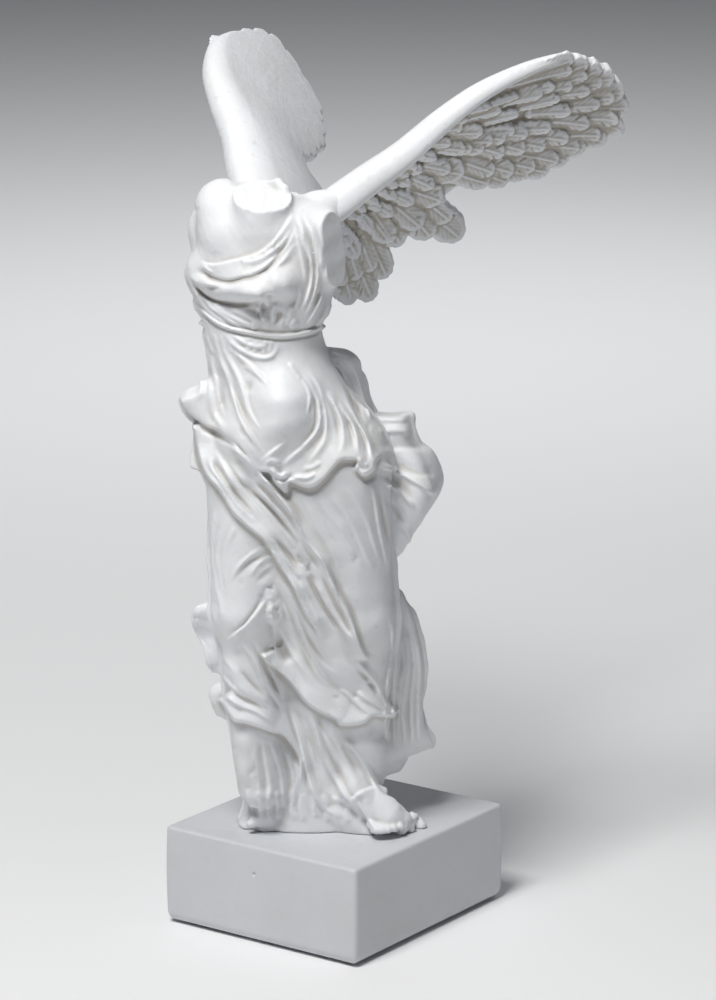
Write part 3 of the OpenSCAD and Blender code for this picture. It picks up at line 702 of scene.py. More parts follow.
    # ---- left thigh, bare: soft lines of thin cloth
    for pts in ([(-13, 180), (-12, 176), (-9, 170), (-6, 163), (-1, 153), (3, 146)], [(-7, 180), (-2, 170),
            (3, 163), (7, 155), (12, 147)], [(-2, 181), (4, 172), (9, 163), (13, 154), (16, 146)],
            [(3, 184), (9, 176), (14, 167), (17, 158), (19, 149)]):
        R(0.8, 2.0, pts)
    R(1.2, 1.6, [(14, 186), (17, 174), (19, 165), (21, 155), (22, 147)])
    G(-1.2, 1.3, [(16, 186), (19, 174), (21, 165), (23, 155)])
    # ---- right thigh and knee
    for pts in ([(-25, 158), (-30, 154), (-36, 150), (-42, 142)], [(-25, 154.5), (-30, 150), (-34, 146)],
            [(-24, 150), (-29, 146), (-33, 141)]):
        G(-1.3, 1.6, pts)
    for pts in ([(-27, 160), (-33, 155), (-39, 149), (-44, 142)], [(-24, 156), (-31, 150), (-36, 144)]):
        R(0.9, 1.5, pts)
    G(-1.8, 1.7, [(-28, 140), (-31, 134), (-35, 128), (-40, 123), (-46, 120)])
    R(1.6, 1.6, [(-27, 138), (-30, 133), (-36, 125.5), (-40, 122), (-45, 117)])
    R(1.0, 1.5, [(-50, 148), (-50, 140), (-48, 132), (-47, 124)])
    m.fan([(-53, 176), (-54, 160), (-52, 145), (-50, 134)], [(-40, 168), (-44, 158), (-46, 148),
        (-45, 138)], 4, 0.7, 1.8, seed=35)
    # ---- rough sheet that hangs between the knees
    for _ in range(30):
        s, t = rng.uniform(-31, -22), rng.uniform(112, 142)
        G(-rng.uniform(0.5, 1.3), rng.uniform(0.5, 1.1), [(s, t), (s + rng.uniform(-0.8, 1.2),
            t - rng.uniform(0.3, 2.0))], (0, 0))
    R(1.4, 4.0, [(-27, 141), (-26, 130), (-25, 120), (-26, 112)])
    for pts, h, w in (([(-24, 149), (-22, 143), (-19, 136), (-16, 128), (-13, 121), (-10, 113), (-6, 106),
            (0, 101)], 2.2, 2.0), ([(-20, 140), (-17, 135), (-13, 129), (-8, 121.5), (-3, 115.5), (3, 108)],
            1.8, 1.8), ([(-23, 138), (-20, 130), (-17, 122), (-13, 114), (-8, 106), (-2, 98)], 1.5, 1.7),
            ([(-27, 134), (-24, 125), (-20, 116), (-14, 107), (-8, 99)], 1.3, 1.7), ([(6, 109.5), (12, 106),
            (16, 101), (20, 95), (25, 88)], 1.8, 1.8), ([(11, 102), (18, 99.5), (22, 93)], 1.4, 1.6),
            ([(8, 98), (12, 95), (18, 92), (24, 87)], 1.4, 1.6), ([(0, 100), (6, 95), (12, 90), (16, 88)],
            1.2, 1.6)):
        R(h, w, pts)
    for pts in ([(-19, 138), (-17, 132), (-14, 126), (-9, 116), (-3, 108.5), (5, 102.5)], [(-22, 134),
            (-18.6, 126), (-15, 117.6), (-10.6, 109), (-5, 101)], [(8, 106), (14, 101), (19, 94)]):
        G(-2.2, 1.5, pts)
    L(4.0, 12, [(-30, 113), (-28, 110), (-23, 105), (-18, 100), (-14, 95.6), (-10, 92), (-5, 88.6), (0, 86),
        (2, 83.6), (7, 83.6), (12, 85), (16, 88), (20, 87.6), (24, 88), (27, 91)], 0.8, (0.03, 0.05))
    # ---- shin folds, left of the middle
    for pts, h, w in (([(-47, 114), (-45, 110), (-41, 104.6), (-38, 100), (-34, 96.4), (-30, 93), (-26, 89),
            (-22, 85)], 1.8, 1.9), ([(-40, 118), (-36, 114), (-32, 108), (-29, 102), (-26, 97), (-23, 92.4),
            (-20, 88)], 2.0, 2.0), ([(-50, 108), (-46, 103), (-42, 99), (-36, 94), (-29, 89.4), (-23, 85)],
            1.6, 1.7), ([(-49, 98), (-47, 97), (-42, 93), (-37, 90.6), (-33, 89), (-28, 86), (-24, 83)],
            1.6, 1.6), ([(-34, 119), (-30, 112), (-26.6, 105), (-23.6, 98), (-20, 92)], 1.4, 1.7)):
        R(h, w, pts)
    for pts in ([(-33, 114), (-28, 105.4), (-24.4, 97.6), (-20, 91)], [(-42, 111), (-37, 104), (-31, 97.6),
            (-25, 92)], [(-45, 101), (-39, 95.6), (-31, 91), (-25, 87)]):
        G(-2.2, 1.4, pts)
    L(3.6, 11, [(-48, 94), (-46, 92), (-42, 86), (-38.5, 85), (-35, 84), (-27, 81.5), (-22, 80), (-19, 77),
        (-16, 72), (-14.5, 67), (-14, 58)], 0.8, (0.03, 0.2))
    for pts, h, w in (([(-31, 80), (-29, 72), (-27, 62), (-26.6, 54), (-27, 47)], 0.8, 1.9), ([(-27, 79),
            (-24, 70), (-21.6, 61), (-20.8, 53), (-21.6, 46)], 1.0, 2.0), ([(-21, 75), (-19.4, 68),
            (-17.6, 60), (-16.8, 52), (-18, 46)], 1.6, 1.8), ([(-36, 76), (-33, 70), (-31, 62), (-31, 52)],
            0.6, 1.8), ([(-38.5, 82), (-39, 74), (-38, 65), (-36, 56)], 1.2, 1.7), ([(-20, 94), (-17, 87),
            (-15, 80), (-13.4, 73), (-12, 66), (-10.6, 60), (-9, 55), (-5, 49), (3, 45)], 2.2, 2.0),
            ([(-12, 92), (-10, 88), (-6, 76), (-3.6, 70), (-1, 64), (1.4, 59), (4, 54), (12, 44)],
            2.2, 2.1), ([(-5, 88), (-1, 79), (3, 72), (8, 63), (12, 56), (16, 49)], 1.5, 1.8), ([(2, 81),
            (5, 76), (8, 72), (13, 65), (17, 59), (20, 53)], 1.5, 1.6), ([(5, 56), (7.6, 53), (10, 50),
            (14, 44), (17, 40)], 1.4, 1.6)):
        R(h, w, pts)
    for pts, h in (([(-28.6, 70), (-25.6, 61), (-24, 52)], -0.9), ([(-36, 62), (-33, 64.4), (-31, 66)],
            -0.8), ([(-16.6, 97), (-13, 84), (-9.6, 76), (-7.4, 68), (-6, 60), (-4, 53)], -2.4), ([(-9, 89),
            (-5, 83), (-2, 78), (2, 72), (6, 66)], -2.0), ([(-33, 74), (-32, 66), (-30.6, 58)], -1.0),
            ([(0, 82), (4, 73), (9, 64), (12, 58)], -1.6)):
        G(h, 1.7, pts)
    R(1.6, 8, [(14, 76), (19, 71)], (0, 0))
    L(1.6, 6, [(6, 52), (10, 55.4), (14, 57), (18, 57.6), (22, 54), (28, 52.4), (31, 50)][::-1], 0.8)
    # broad hollows between the legs and under the panel
    for pts, h, w in (([(-21, 102), (-17, 88), (-13, 72), (-10, 56)], -3.0, 4.6), ([(2, 78), (12, 77),
            (22, 81)], -1.2, 5.0), ([(-30, 78), (-30, 66), (-28, 54)], -1.6, 4.0), ([(-27, 128), (-24, 118),
            (-19, 108)], -2.0, 4.0)):
        G(h, w, pts, (0.2, 0.2))
    for pts, h, w in (([(-6, 88), (0, 74), (7, 60), (12, 50)], 2.6, 5.0), ([(-40, 84), (-40, 70),
            (-37, 56)], 1.8, 5.0), ([(-18, 72), (-16, 62), (-18, 50)], 1.6, 3.6), ([(-24, 150), (-14, 128),
            (0, 106), (12, 96)], 2.4, 7.0), ([(-46, 110), (-36, 97), (-24, 88)], 1.8, 6.0)):
        R(h, w, pts)
    m.fan([(-36, 58), (-36, 50), (-36, 44)], [(12, 54), (14, 47), (15, 42)], 12, 0.9, 1.7, seed=36)
    # ---- torn cloth right of the waist, and the long folds below it
    G(-2.6, 1.8, [(-3, 235), (2, 228.6), (6, 220.4), (9, 213), (12, 206), (15, 200)])
    R(1.2, 1.4, [(0, 237), (6, 233), (9, 226), (11.6, 218), (14, 212)])
    m.fan([(22, 130), (24, 118), (22, 100), (21, 84), (22, 72)], [(33, 122), (35, 106), (35, 92), (36, 80),
        (36, 74)], 6, 1.4, 1.5, seed=38)
    # mantle
    for pts, h, w in (([(16, 199), (24, 198.6), (35, 197.5), (41, 196)], -1.4, 2.6), ([(17, 194),
            (28, 189.4), (39, 187), (44, 187)], -2.4, 2.4), ([(17, 192), (30, 186), (40, 180), (43, 176)],
            2.0, 2.4), ([(16, 189), (26, 182.4), (31, 178), (38, 171)], -1.8, 2.2), ([(18, 205), (26, 205),
            (33, 203.6)], 1.2, 3.0), ([(20, 184), (27, 180), (33, 172)], 1.6, 2.0), ([(19, 178), (25, 172),
            (29, 163)], -1.6, 2.0), ([(17, 210), (24, 209.4), (31, 209)], 1.0, 2.0), ([(24, 168), (30, 162),
            (31, 156)], 1.4, 1.8)):
        R(h, w, pts)
    for _ in range(60):                                 # old wear: shallow dents
        s, t = rng.uniform(-60, 40), rng.uniform(45, 300)
        G(-rng.uniform(0.25, 0.7), rng.uniform(1.0, 2.4), [(s, t), (s + rng.uniform(-1, 1),
            t + rng.uniform(-1, 1))], (0, 0))
    return m


def side_map(seed, tail=0.0):
    """Folds for a side that the quarter view doesn't show: across p, up z."""
    m = Relief(-75, 75, 38, 325, 0.5 * FINE)
    rng = np.random.default_rng(seed)
    R, G, L = m.stroke, m.stroke, m.lip
    belt_z = 262.0
    for draw, h, w, d in ((R, 1.7, 1.0, 0), (G, -1.1, 0.7, -1.5), (G, -1.1, 0.7, 1.5)):     # the belt
        z = belt_z + d
        draw(h, w, [(-60, z + 2), (-20, z - 1), (20, z - 1), (60, z + 2)], (0, 0))
    for p in np.arange(-36, 37, 5.5):                       # gathers over the belt and small pleats under it
        q = p + rng.uniform(-1.2, 1.2)
        R(1.8, 2.4, [(q, belt_z + 8.4), (q + 0.4, belt_z + 5)], (0, 0))
        R(1.2, 1.6, [(q * 1.1, belt_z + 26), (q, belt_z + 16), (q, belt_z + 6)])
        foot = belt_z - 30 - rng.uniform(0, 10)
        R(1.3, 1.6, [(q, belt_z - 3), (q * 1.05, belt_z - 14), (q * 1.15, foot)], (0.1, 0.5))
    for k in range(11):                                     # the short tunic's skirt
        p = -40 + 8 * k + rng.uniform(-2, 2)
        top, foot = p * 0.85, p * 1.12
        R(1.7, 2.2, [(top, belt_z - 12), (p, belt_z - 34), (foot + 2, belt_z - 58)], (0.3, 0.15))
        G(-1.5, 1.7, [(top + 3.6, belt_z - 16), (p + 4, belt_z - 36), (foot + 6, belt_z - 56)], (0.3, 0.2))
    hem = [(p + rng.uniform(-3, 3), (203 if i % 2 else 197) + rng.uniform(-3.5, 3.5)) for i, p in
           enumerate(np.arange(-64, 66, 10.5))]
    L(3.2, 13, hem, 0.9, (0, 0))
    for _ in range(5):                                      # broad swells
        p = rng.uniform(-45, 45)
        h, w = rng.uniform(1.5, 3.0), rng.uniform(6, 9)
        R(h, w, [(p, 190), (p + rng.uniform(-6, 6), 120), (p + rng.uniform(-9, 9), 52)])
    for k in range(9):                                      # long folds to the plinth
        p = -40 + 10 * k + rng.uniform(-4, 4)
        end = p + tail * (1 + 0.5 * k / 9) + rng.uniform(-5, 5)
        a, b = rng.uniform(182, 196), rng.uniform(46, 60)
        mid = (p + end) / 2 + rng.uniform(-3, 3)
        R(rng.uniform(1.8, 2.8), rng.uniform(2.4, 3.4), [(p * 0.9, a), (mid, 130), (end, b)], (0.15, 0.1))
        h, w = -rng.uniform(1.6, 2.6), rng.uniform(1.8, 2.6)
        G(h, w, [(p * 0.9 + 5, a - 8), (mid + 5, 128), (end + 5, b + 4)], (0.15, 0.15))
        R(1.0, 1.4, [(p * 0.9 + 2.6, a - 22), (mid + 2.4, 124), (end + 2.0, b + 14)], (0.25, 0.2))
    for p in np.arange(-50, 52, 6.0):
        R(1.4, 2.2, [(p, 58), (p + rng.uniform(-1, 1), 45)], (0.3, 0))
    return m


def project(x, y, z):
    """Where places show on the upright plane of the quarter view."""
    px, py, pz = x - EYE[0], y - EYE[1], z - EYE[2]
    depth = -(px * BACK[0] + py * BACK[1] + pz * BACK[2])
    k = (DISTANCE - PLANE) / depth
    s = (px * RIGHT[0] + py * RIGHT[1] + pz * RIGHT[2]) * k + CENTRE_S
    t = (px * UP[0] + py * UP[1] + pz * UP[2]) * k + CENTRE_T
    return s, t


def soften(field):
    """A light blur, so that drawn edges don't step."""
    for ax in (0, 1):
        field = 0.25 * np.roll(field, 1, ax) + 0.5 * field + 0.25 * np.roll(field, -1, ax)
    return field


FRONT = front_map()
FRONT_H = soften(FRONT.total())
SIDES = []
for turn_by, seed, tail in ((-90, 51, 8.0), (90, 52, -4.0), (180, 53, 0.0)):
    ang = math.radians(AZIMUTH + turn_by)
    one = side_map(seed, tail)
    SIDES.append((np.array([math.sin(ang), -math.cos(ang)]), np.array([math.cos(ang), math.sin(ang)]), one,
                  soften(one.total())))


def drift(x, y, z, scale, seed):
    """A smooth wander between -1 and 1."""
    rng = np.random.default_rng(seed)
    total = 0
    for _ in range(4):
        d = rng.normal(size=3)
        d *= rng.uniform(0.8, 1.5) * 2 * math.pi / scale / np.linalg.norm(d)
        total = total + np.sin(x * d[0] + y * d[1] + z * d[2] + rng.uniform(0, 6.28))
    return total / 2.6


def emboss(block, width=9.0, front=1.0, side=1.0):
    """Press the drawn cloth into a block: the surface moves out by the height that is drawn there."""
    gx, gy, gz = np.gradient(block.f, block.gap)
    idx = block.near(width)
    n = np.stack([g[idx] for g in (gx, gy, gz)])
    del gx, gy, gz
    n /= np.maximum(np.linalg.norm(n, axis=0), 1e-3)
    x, y, z = (block.axis[i][idx[i]] for i in range(3))
    s, t = project(x, y, z)
    s = s + 0.5 * drift(x, y, z, 30, 81)
    t = t + 0.5 * drift(x, y, z, 30, 83)
    facing = n[0] * BACK[0] + n[1] * BACK[1] + n[2] * BACK[2]
    wf = step(-0.02, 0.34, facing)
    h = wf * FRONT.read(FRONT_H, s, t) * front
    rest, total = np.zeros_like(h), np.full_like(h, 1e-4)
    for toward, across, m, field in SIDES:
        w = np.clip(n[0] * toward[0] + n[1] * toward[1], 0, 1) ** 3
        rest += w * m.read(field, x * across[0] + y * across[1], z)
        total += w
    h += (1 - wf) * rest / total * side * np.clip(total * 2.5, 0, 1)
    h = h * (1 + 0.14 * drift(x, y, z, 16, 85))
    h = h + 0.13 * drift(x, y, z, 12, 86) + 0.03 * drift(x, y, z, 3.5, 87)
    block.f[idx] -= h.astype(np.float32)


def plane_cut(block, at, normal, reach, k=0.5):
    """Cut away what lies past a plane, within reach of a point."""
    normal = np.asarray(normal, float) / np.linalg.norm(normal)
    level = np.cross(normal, [0, 0, 1.0])
    sl = block.part(np.array(at) - reach, np.array(at) + reach)
    X, Y, Z = block.places(sl)
    d = (X - at[0]) * normal[0] + (Y - at[1]) * normal[1] + (Z - at[2]) * normal[2]
    saw_marks = 0.10 * np.sin((X * level[0] + Y * level[1]) * 4.1 + 0.8 * np.sin(Z * 0.5))
    d = d + saw_marks + 0.12 * np.sin(X * 0.9 + Z * 0.7)
    out = np.sqrt((X - at[0]) ** 2 + (Y - at[1]) ** 2 + (Z - at[2]) ** 2) - reach
    d = np.minimum(d, -out)
    block.f[sl] = smax(block.f[sl], d, k)


def build_figure():
    gap = 0.54 * FINE
    block = Block((-64, -68, TOP - 1.0), (54, 30, TOP + 286), gap)
    block.f = body_distance(block)
    C = block.cone
    # legs under the cloth: right one back, left one forward
    C(seen(-34, 190, 12), seen(-38, 132, 21), 18, 12.5, 10)
    C(seen(-38, 130, 20), seen(-31, 58, 16), 11, 9, 8)
    C(seen(2, 192, 12), seen(9, 130, 12), 19, 13, 10)
    C(seen(10, 126, 10), seen(13, 62, 2), 12, 7, 8)
    # trunk
    C((-25, -49, 284), (-25, -48, 283), 11.5, 11.5, 4)
    C((4, -49, 284), (4, -48, 283), 11.5, 11.5, 4)
    C((-34, -35, 299), (-29, -35, 301), 12, 11, 7)
    C((6, -36, 300), (-10, -36, 302), 11, 12, 7)
    C(seen(-46.5, 298, 0), seen(-39, 296, 0), 11, 10, 8)
    C(seen(-44, 286, 8), seen(-18, 284, 9), 10, 10.5, 10)
    C(seen(-22, 216, 20), seen(-26, 208, 20), 16, 17, 10)

    # skirt folds that reach past the body
    def cloth(inner, outer, ri, ro, k=2.5, gap=1.6):
        block.sheet([seen(*q) for q in inner], [seen(*q) for q in outer], ri, ro, k, gap)

    cloth([(-43, 226, 9), (-44, 223, 9), (-45, 220, 9), (-45, 216, 9), (-45, 212, 9), (-44, 209, 9)],
          [(-50.6, 224, 8), (-56, 221.4, 8), (-60.4, 220, 8), (-60.8, 216, 6), (-57, 211, 7),
           (-52, 207.4, 7)], 5.5, 1.2, 3)
    cloth([(-44, 206, 8), (-44, 196, 8), (-44, 187, 8)],
          [(-55, 205, 6), (-54, 196, 6), (-50.6, 186, 7)], 8, 2.0, 4)
    cloth([(-43, 134, 6), (-43, 130, 6), (-43, 126, 6), (-43, 121, 6), (-43, 116, 6), (-42, 111, 6),
           (-42, 106, 6)],
          [(-48, 134, 5), (-54.6, 131.4, 9), (-56.4, 127, 7), (-54.6, 121.4, 4), (-51.4, 116.4, 6),
           (-50.4, 111, 7), (-48.6, 106, 5)], 4, 0.9, 2)
    cloth([(-42, 101, 6), (-42, 94, 6), (-42, 88, 6)],
          [(-45.6, 101, 5), (-49.8, 96, 6), (-46.8, 88, 4)], 4, 1.2)
    cloth([(12, 136, -6), (15, 120, -6), (16, 104, -6), (16, 92, -6), (17, 82, -6), (18, 75, -6)],
          [(24.5, 138, -8), (30, 122, -10), (33, 104.5, -11), (32, 91, -12), (33.4, 82, -12),
           (37.6, 75.6, -13)], 8, 2.2, 4)
    cloth([(14, 80, -2), (14, 72, -2), (15, 66, -2)],
          [(26, 78, -9), (26, 71, -9), (23, 65.6, -7)], 6, 2.0, 3)
    cloth([(-7, 234, 0), (-4, 229, 0), (0, 220, 0), (4, 210, 0), (7, 200, 0)],
          [(3, 236, -8), (6.4, 233.6, -7), (8.6, 226, -9), (11, 217, -8), (14.4, 207.6, -9),
           (17, 200, -8)], 6, 2.6, 3)
    # feet and the rock they stand on
    C(seen(-29, 46, 14), seen(-34.5, 42.6, 18), 5, 1.8, 4)
    C(seen(8, 56, 12), seen(22, 46, 18), 8, 6.0, 5)
    C(seen(21, 47, 16), seen(27.5, 44, 16), 5.4, 4.4, 3)
    rock = np.random.default_rng(71)
    for s, t, f in ((29, 45, 12), (32, 45, 10), (34.5, 43.4, 8), (31, 42, 15), (28, 41, 19),
                    (35.6, 41.6, 9)):
        C(seen(s, t, f), seen(s + rock.uniform(-1, 1), t - 1.5, f), 2.3, 2.0, 1.2)
    axis = np.array([-4.0, -13.0, TOP])

    def ground(s, t):
        """The place on the plinth's top that shows at s, t."""
        q = seen(s, t)
        return EYE + (q - EYE) * (TOP + 0.8 - EYE[2]) / (q[2] - EYE[2])

    hem = [ground(*q) for q in (
        (-38, 44), (-36.4, 41.4), (-33, 42.6), (-29.6, 40.4), (-25, 41.6), (-20, 40.4), (-16, 41.4),
        (-11, 43), (-7, 41.4), (-1, 41.6), (5, 40), (10, 39.4), (15, 39))]
    block.sheet([q + (axis - q) * 0.3 + [0, 0, 7] for q in hem], hem, 5.5, 1.3, 3, 2.0)
    for s, t, f in ((27, 41.4, 23), (24.4, 40.6, 25), (22, 40, 26.4), (19.6, 39.8, 27), (17.4, 39.8, 27)):
        C(seen(s - 1.6, t + 2.2, f - 5), seen(s, t, f), 2.2, 1.6, 1.2)
    # shoulder blades and the sleeves of the wings
    for side in (1, -1):
        hub = np.array([MID_X + side * 8, -33, 300.0])
        C(hub, wing_place(-2, 8, -3, side), 14, 7.4, 7)
        C(hub + [0, 2, -8], wing_place(-4, 30, -4, side), 13, 6, 8)
        C(hub + [0, 0, -12], wing_place(-4, 42, -6, side), 12, 4, 8)
        C(wing_place(-2, 8, -2, side), wing_place(12, 6, -4, side), 7.4, 4.2, 4)
    # neck
    neck = seen(-31.0, 301.6, 14)
    C(neck + [0, 3, -12], neck + [0, 1, 6], 12.4, 11.2, 4)
    C(neck + [6, 2, -2], neck + [7, 3, 3], 6, 5, 3)
    # left arm's stump
    arm = seen(-0.5, 279, 16)
    out_of_arm = 0.50 * BACK + 0.86 * RIGHT
    for up in (-7, 0, 8):
        inner, outer = arm - out_of_arm * 16 + [0, 0, up + 2], arm + out_of_arm * 3 + [0, 0, up]
        C(inner, outer, 11, 8.5 - abs(up) * 0.16, 4)
    emboss(block)
    # the dark recess beside the torn cloth, and the cuts
    block.chain([seen(-4, 234, 7), seen(0.6, 228, 4), seen(4, 220, 2.5), seen(8, 211, 1)],
                [1.0, 2.6, 2.4, 1.0], 1.6, cut=True)
    plane_cut(block, arm + out_of_arm * 0.5, out_of_arm, 17)
    slope = math.radians(66)                              # the neck's cut faces up and towards the viewer
    tilt = np.array([BACK[0] * math.cos(slope), BACK[1] * math.cos(slope), math.sin(slope)])
    plane_cut(block, neck, tilt, 21)
    block.chain([seen(-27, 307.6, 5), seen(-23.4, 307.4, 6), seen(-20.8, 304.6, 9), seen(-20.4, 301.4, 12)],
                [0.9, 1.8, 1.9, 1.2], 1.4)
    Z = block.axis[2][None, None, :]
    block.f = smax(block.f, (TOP + 0.1) - Z, 0.4).astype(np.float32)
    return block


figure = add_block("figure_stone", build_figure())
wing_pts, wing_quads, wing_tris, shade_level = wing_mesh()
left_wing = add_mesh("left_wing_stone", wing_world(wing_pts), wing_quads, wing_tris)
right_wing = add_mesh("right_wing_stone", mirrored(wing_world(right_shape(wing_pts))), wing_quads, wing_tris,
                      flip=True)
for wing in (left_wing, right_wing):
    mark_painted_shade(wing, shade_level)


# ---------------------------------------------------------------- mantle
MANTLE_AT, MANTLE_TURN = np.array([-2.0, -26.0]), math.radians(48)
MANTLE_INNER = 27.0                       # its joint face, this far out from MANTLE_AT


def build_mantle():
    gap = 0.6 * FINE
    low, high = node_box("mantle")
    block = Block(low - 2.5, high + 2.5, gap)
    c, s = math.cos(MANTLE_TURN), math.sin(MANTLE_TURN)
    turn = np.array([[c, s], [-s, c]])

    def place(out, across, z):
        return np.append(MANTLE_AT + out * turn[0] + across * turn[1], z)

    edge = spline([(160, 47), (165, 48), (169, 49.4), (173, 52.6), (178, 57.5), (184, 61.5), (190, 63),
                   (196, 62), (203, 58), (208, 52), (214, 50), (220, 50)], 1.0)
    for z in np.arange(165.4, 219.5, 1.3):
        up = (z - 165.4) / 54
        reach = np.interp(z, edge[:, 0], edge[:, 1])
        inner = place(25, 1 + 3 * math.sin(z / 8), z)
        sag = -9 * math.sin(math.pi * up ** 0.8) - 2 + 1.2 * math.sin(z / 4.5)
        bulge = place(MANTLE_INNER + (reach - MANTLE_INNER) * 0.62, sag, z)
        sway = 3 + 5 * math.sin((z - 158) / 11) + 1.0 * math.sin(z / 3.1)
        rim = place(reach - 1.6, sway, z - 1.5 * math.cos(math.pi * up))
        block.chain([inner, bulge, rim], [7.5, 4.6, 2.0], 2.5)
    top = high[2] + 1.2
    block.chain([place(26, 2, top - 4), place(38, -3, top - 3.4), place(49, 2, top - 3.2)],
                [4.5, 3.4, 2.6], 3)
    emboss(block, 6, 1.0, 0.0)
    X, Y, Z = block.places((slice(None),) * 3)
    out = (X - MANTLE_AT[0]) * turn[0, 0] + (Y - MANTLE_AT[1]) * turn[0, 1]
    block.f = smax(block.f, MANTLE_INNER - out, 0.5)
    block.f = smax(block.f, Z - top, 0.8).astype(np.float32)
    return block


mantle = add_block("mantle_stone", build_mantle())


# ---------------------------------------------------------------- plinth
def build_plinth():
    gap = 0.6 * FINE
    low, high = plinth_low, plinth_high
    block = Block(low - 2, high + 2, gap)
    X, Y, Z = block.places((slice(None),) * 3)
    cx, cy = (low[0] + high[0]) / 2, (low[1] + high[1]) / 2
    hx, hy = (high[0] - low[0]) / 2, (high[1] - low[1]) / 2
    bow = 0.35 * np.cos((Z - low[2]) / (high[2] - low[2]) * math.pi - math.pi / 2)
    qx = np.abs(X - cx) - (hx - 0.35 + bow) + 2.2
    qy = np.abs(Y - cy) - (hy - 0.35 + bow) + 2.2
    upright = np.hypot(np.maximum(qx, 0), np.maximum(qy, 0)) + np.minimum(np.maximum(qx, qy), 0) - 2.2
    f = smax(upright + 0 * Z, Z - high[2] + 0 * X, 1.6)
    f = smax(f, low[2] - Z + 0 * X, 5.0)
    block.f = f.astype(np.float32)
    chips = np.random.default_rng(61)
    corner = np.array([high[0], low[1], high[2]])
    block.cone(corner + [-2.5, -1.5, 1.2], corner + [1.5, -2.2, 0.8], 1.8, 1.4, 0.5, cut=True)
    for _ in range(26):                                   # nicks along the edges, and pinholes in the faces
        side = chips.integers(0, 4)
        a = chips.uniform(-0.95, 0.95)
        px, py = cx + a * hx, cy + a * hy
        p = [(px, low[1]), (high[0], py), (px, high[1]), (low[0], py)][side] + (high[2],)
        r = chips.uniform(0.3, 0.7)
        block.cone(np.array(p) + [0, 0, 0.3], np.array(p) + chips.uniform(-1.2, 1.2, 3), r, r, 0.4, cut=True)
    hole = np.array([cx - 0.05 * hx, low[1], high[2] - 12])
    block.cone(hole, hole + [0.3, 0.8, 0], 0.9, 0.6, 0.3, cut=True)
    return block


plinth = add_block("plinth_stone", build_plinth())


# ---------------------------------------------------------------- materials
def tree(name):
    mat = bpy.data.materials.new(name)
    mat.use_nodes = True
    nt = mat.node_tree
    return mat, nt, nt.nodes["Principled BSDF"]


def node(nt, kind, **values):
    n = nt.nodes.new(kind)
    for key, value in values.items():
        if key in n.inputs:
            n.inputs[key].default_value = value
        else:
            setattr(n, key, value)
    return n


def noise(nt, where, scale, detail, roughness=0.5):
    n = node(nt, "ShaderNodeTexNoise", Scale=scale, Detail=detail, Roughness=roughness)
    nt.links.new(where, n.inputs["Vector"])
    return n.outputs["Fac"]


def mapped(nt, source, low, high, to_low=0.0, to_high=1.0):
    """A value brought from low..high to to_low..to_high."""
    n = node(nt, "ShaderNodeMapRange")
    for key, value in (("From Min", low), ("From Max", high), ("To Min", to_low), ("To Max", to_high)):
        n.inputs[key].default_value = value
    nt.links.new(source, n.inputs["Value"])
    return n.outputs["Result"]


def mixed(nt, share, first, second):
    """A share of the second colour laid over the first, which is a colour or another mix."""
    n = node(nt, "ShaderNodeMix", data_type="RGBA")
    nt.links.new(share, n.inputs[0])
    if isinstance(first, bpy.types.NodeSocket):
        nt.links.new(first, n.inputs[6])
    else:
        n.inputs[6].default_value = (*first, 1)
    n.inputs[7].default_value = (*second, 1)
    return n.outputs[2]


def bumped(nt, height, strength, distance, under=None):
    """Bump from a height, laid over another bump if there is one."""
    n = node(nt, "ShaderNodeBump", Strength=strength, Distance=distance)
    nt.links.new(height, n.inputs["Height"])
    if under is not None:
        nt.links.new(under, n.inputs["Normal"])
    return n.outputs["Normal"]


def connect(nt, shader, colour, roughness, normal):
    for socket, key in ((colour, "Base Color"), (roughness, "Roughness"), (normal, "Normal")):
        nt.links.new(socket, shader.inputs[key])


def stone_material(name, tint=(0.775, 0.79, 0.815), shade_and_stains=1.0, bump=1.0, rough=0.5):
    """White cast stone: painted shade in the hollows (a warm brown darkening), faint stains, pinholes and a
    satin, slightly sealed skin.
    """
    mat, nt, shader = tree(name)
    where = node(nt, "ShaderNodeTexCoord").outputs["Object"]
    shade_level = node(nt, "ShaderNodeAttribute", attribute_name="hollow").outputs["Fac"]
    # colour: broad clouds, small mottling, and painted shade that darkens the hollows towards a warm brown
    clouds, mottle = noise(nt, where, 26.0, 4.0, 0.6), noise(nt, where, 320.0, 3.0, 0.55)
    cloudy = (tint[0] * 0.96, tint[1] * 0.95, tint[2] * 0.93)
    colour = mixed(nt, mapped(nt, clouds, 0.42, 0.68), tint, cloudy)
    # painted shade: the colour is mixed towards a dark warm brown where the hollow attribute is high
    share = node(nt, "ShaderNodeMath", operation="MULTIPLY")
    share.inputs[1].default_value = 0.70 * shade_and_stains
    nt.links.new(mapped(nt, shade_level, 0.06, 0.70), share.inputs[0])
    colour = mixed(nt, share.outputs[0], colour, (0.42, 0.385, 0.33))
    colour = mixed(nt, mapped(nt, mottle, 0.60, 0.72, 0.0, 0.22 * shade_and_stains), colour, (0.52, 0.46, 0.38))
    # skin: uneven gloss and a little light inside it
    gloss = mapped(nt, mottle, 0.3, 0.7, rough - 0.1, rough + 0.13)
    for key, value in (("Specular IOR Level", 0.42), ("Subsurface Weight", 0.08),
                       ("Subsurface Radius", (1.0, 0.82, 0.62)), ("Subsurface Scale", 0.0012)):
        shader.inputs[key].default_value = value
    # bump: grain, soft undulation and pinholes
    cells = node(nt, "ShaderNodeTexVoronoi", Scale=210.0)
    nt.links.new(where, cells.inputs["Vector"])
    pinholes = mapped(nt, cells.outputs["Distance"], 0.0, 0.085)
    skin = bumped(nt, noise(nt, where, 900.0, 4.0, 0.6), 0.35 * bump, 0.0003)
    skin = bumped(nt, noise(nt, where, 110.0, 2.0), 0.4 * bump, 0.0009, skin)
    skin = bumped(nt, pinholes, 0.5 * bump, 0.0003, skin)
    connect(nt, shader, colour, gloss, skin)
    return mat


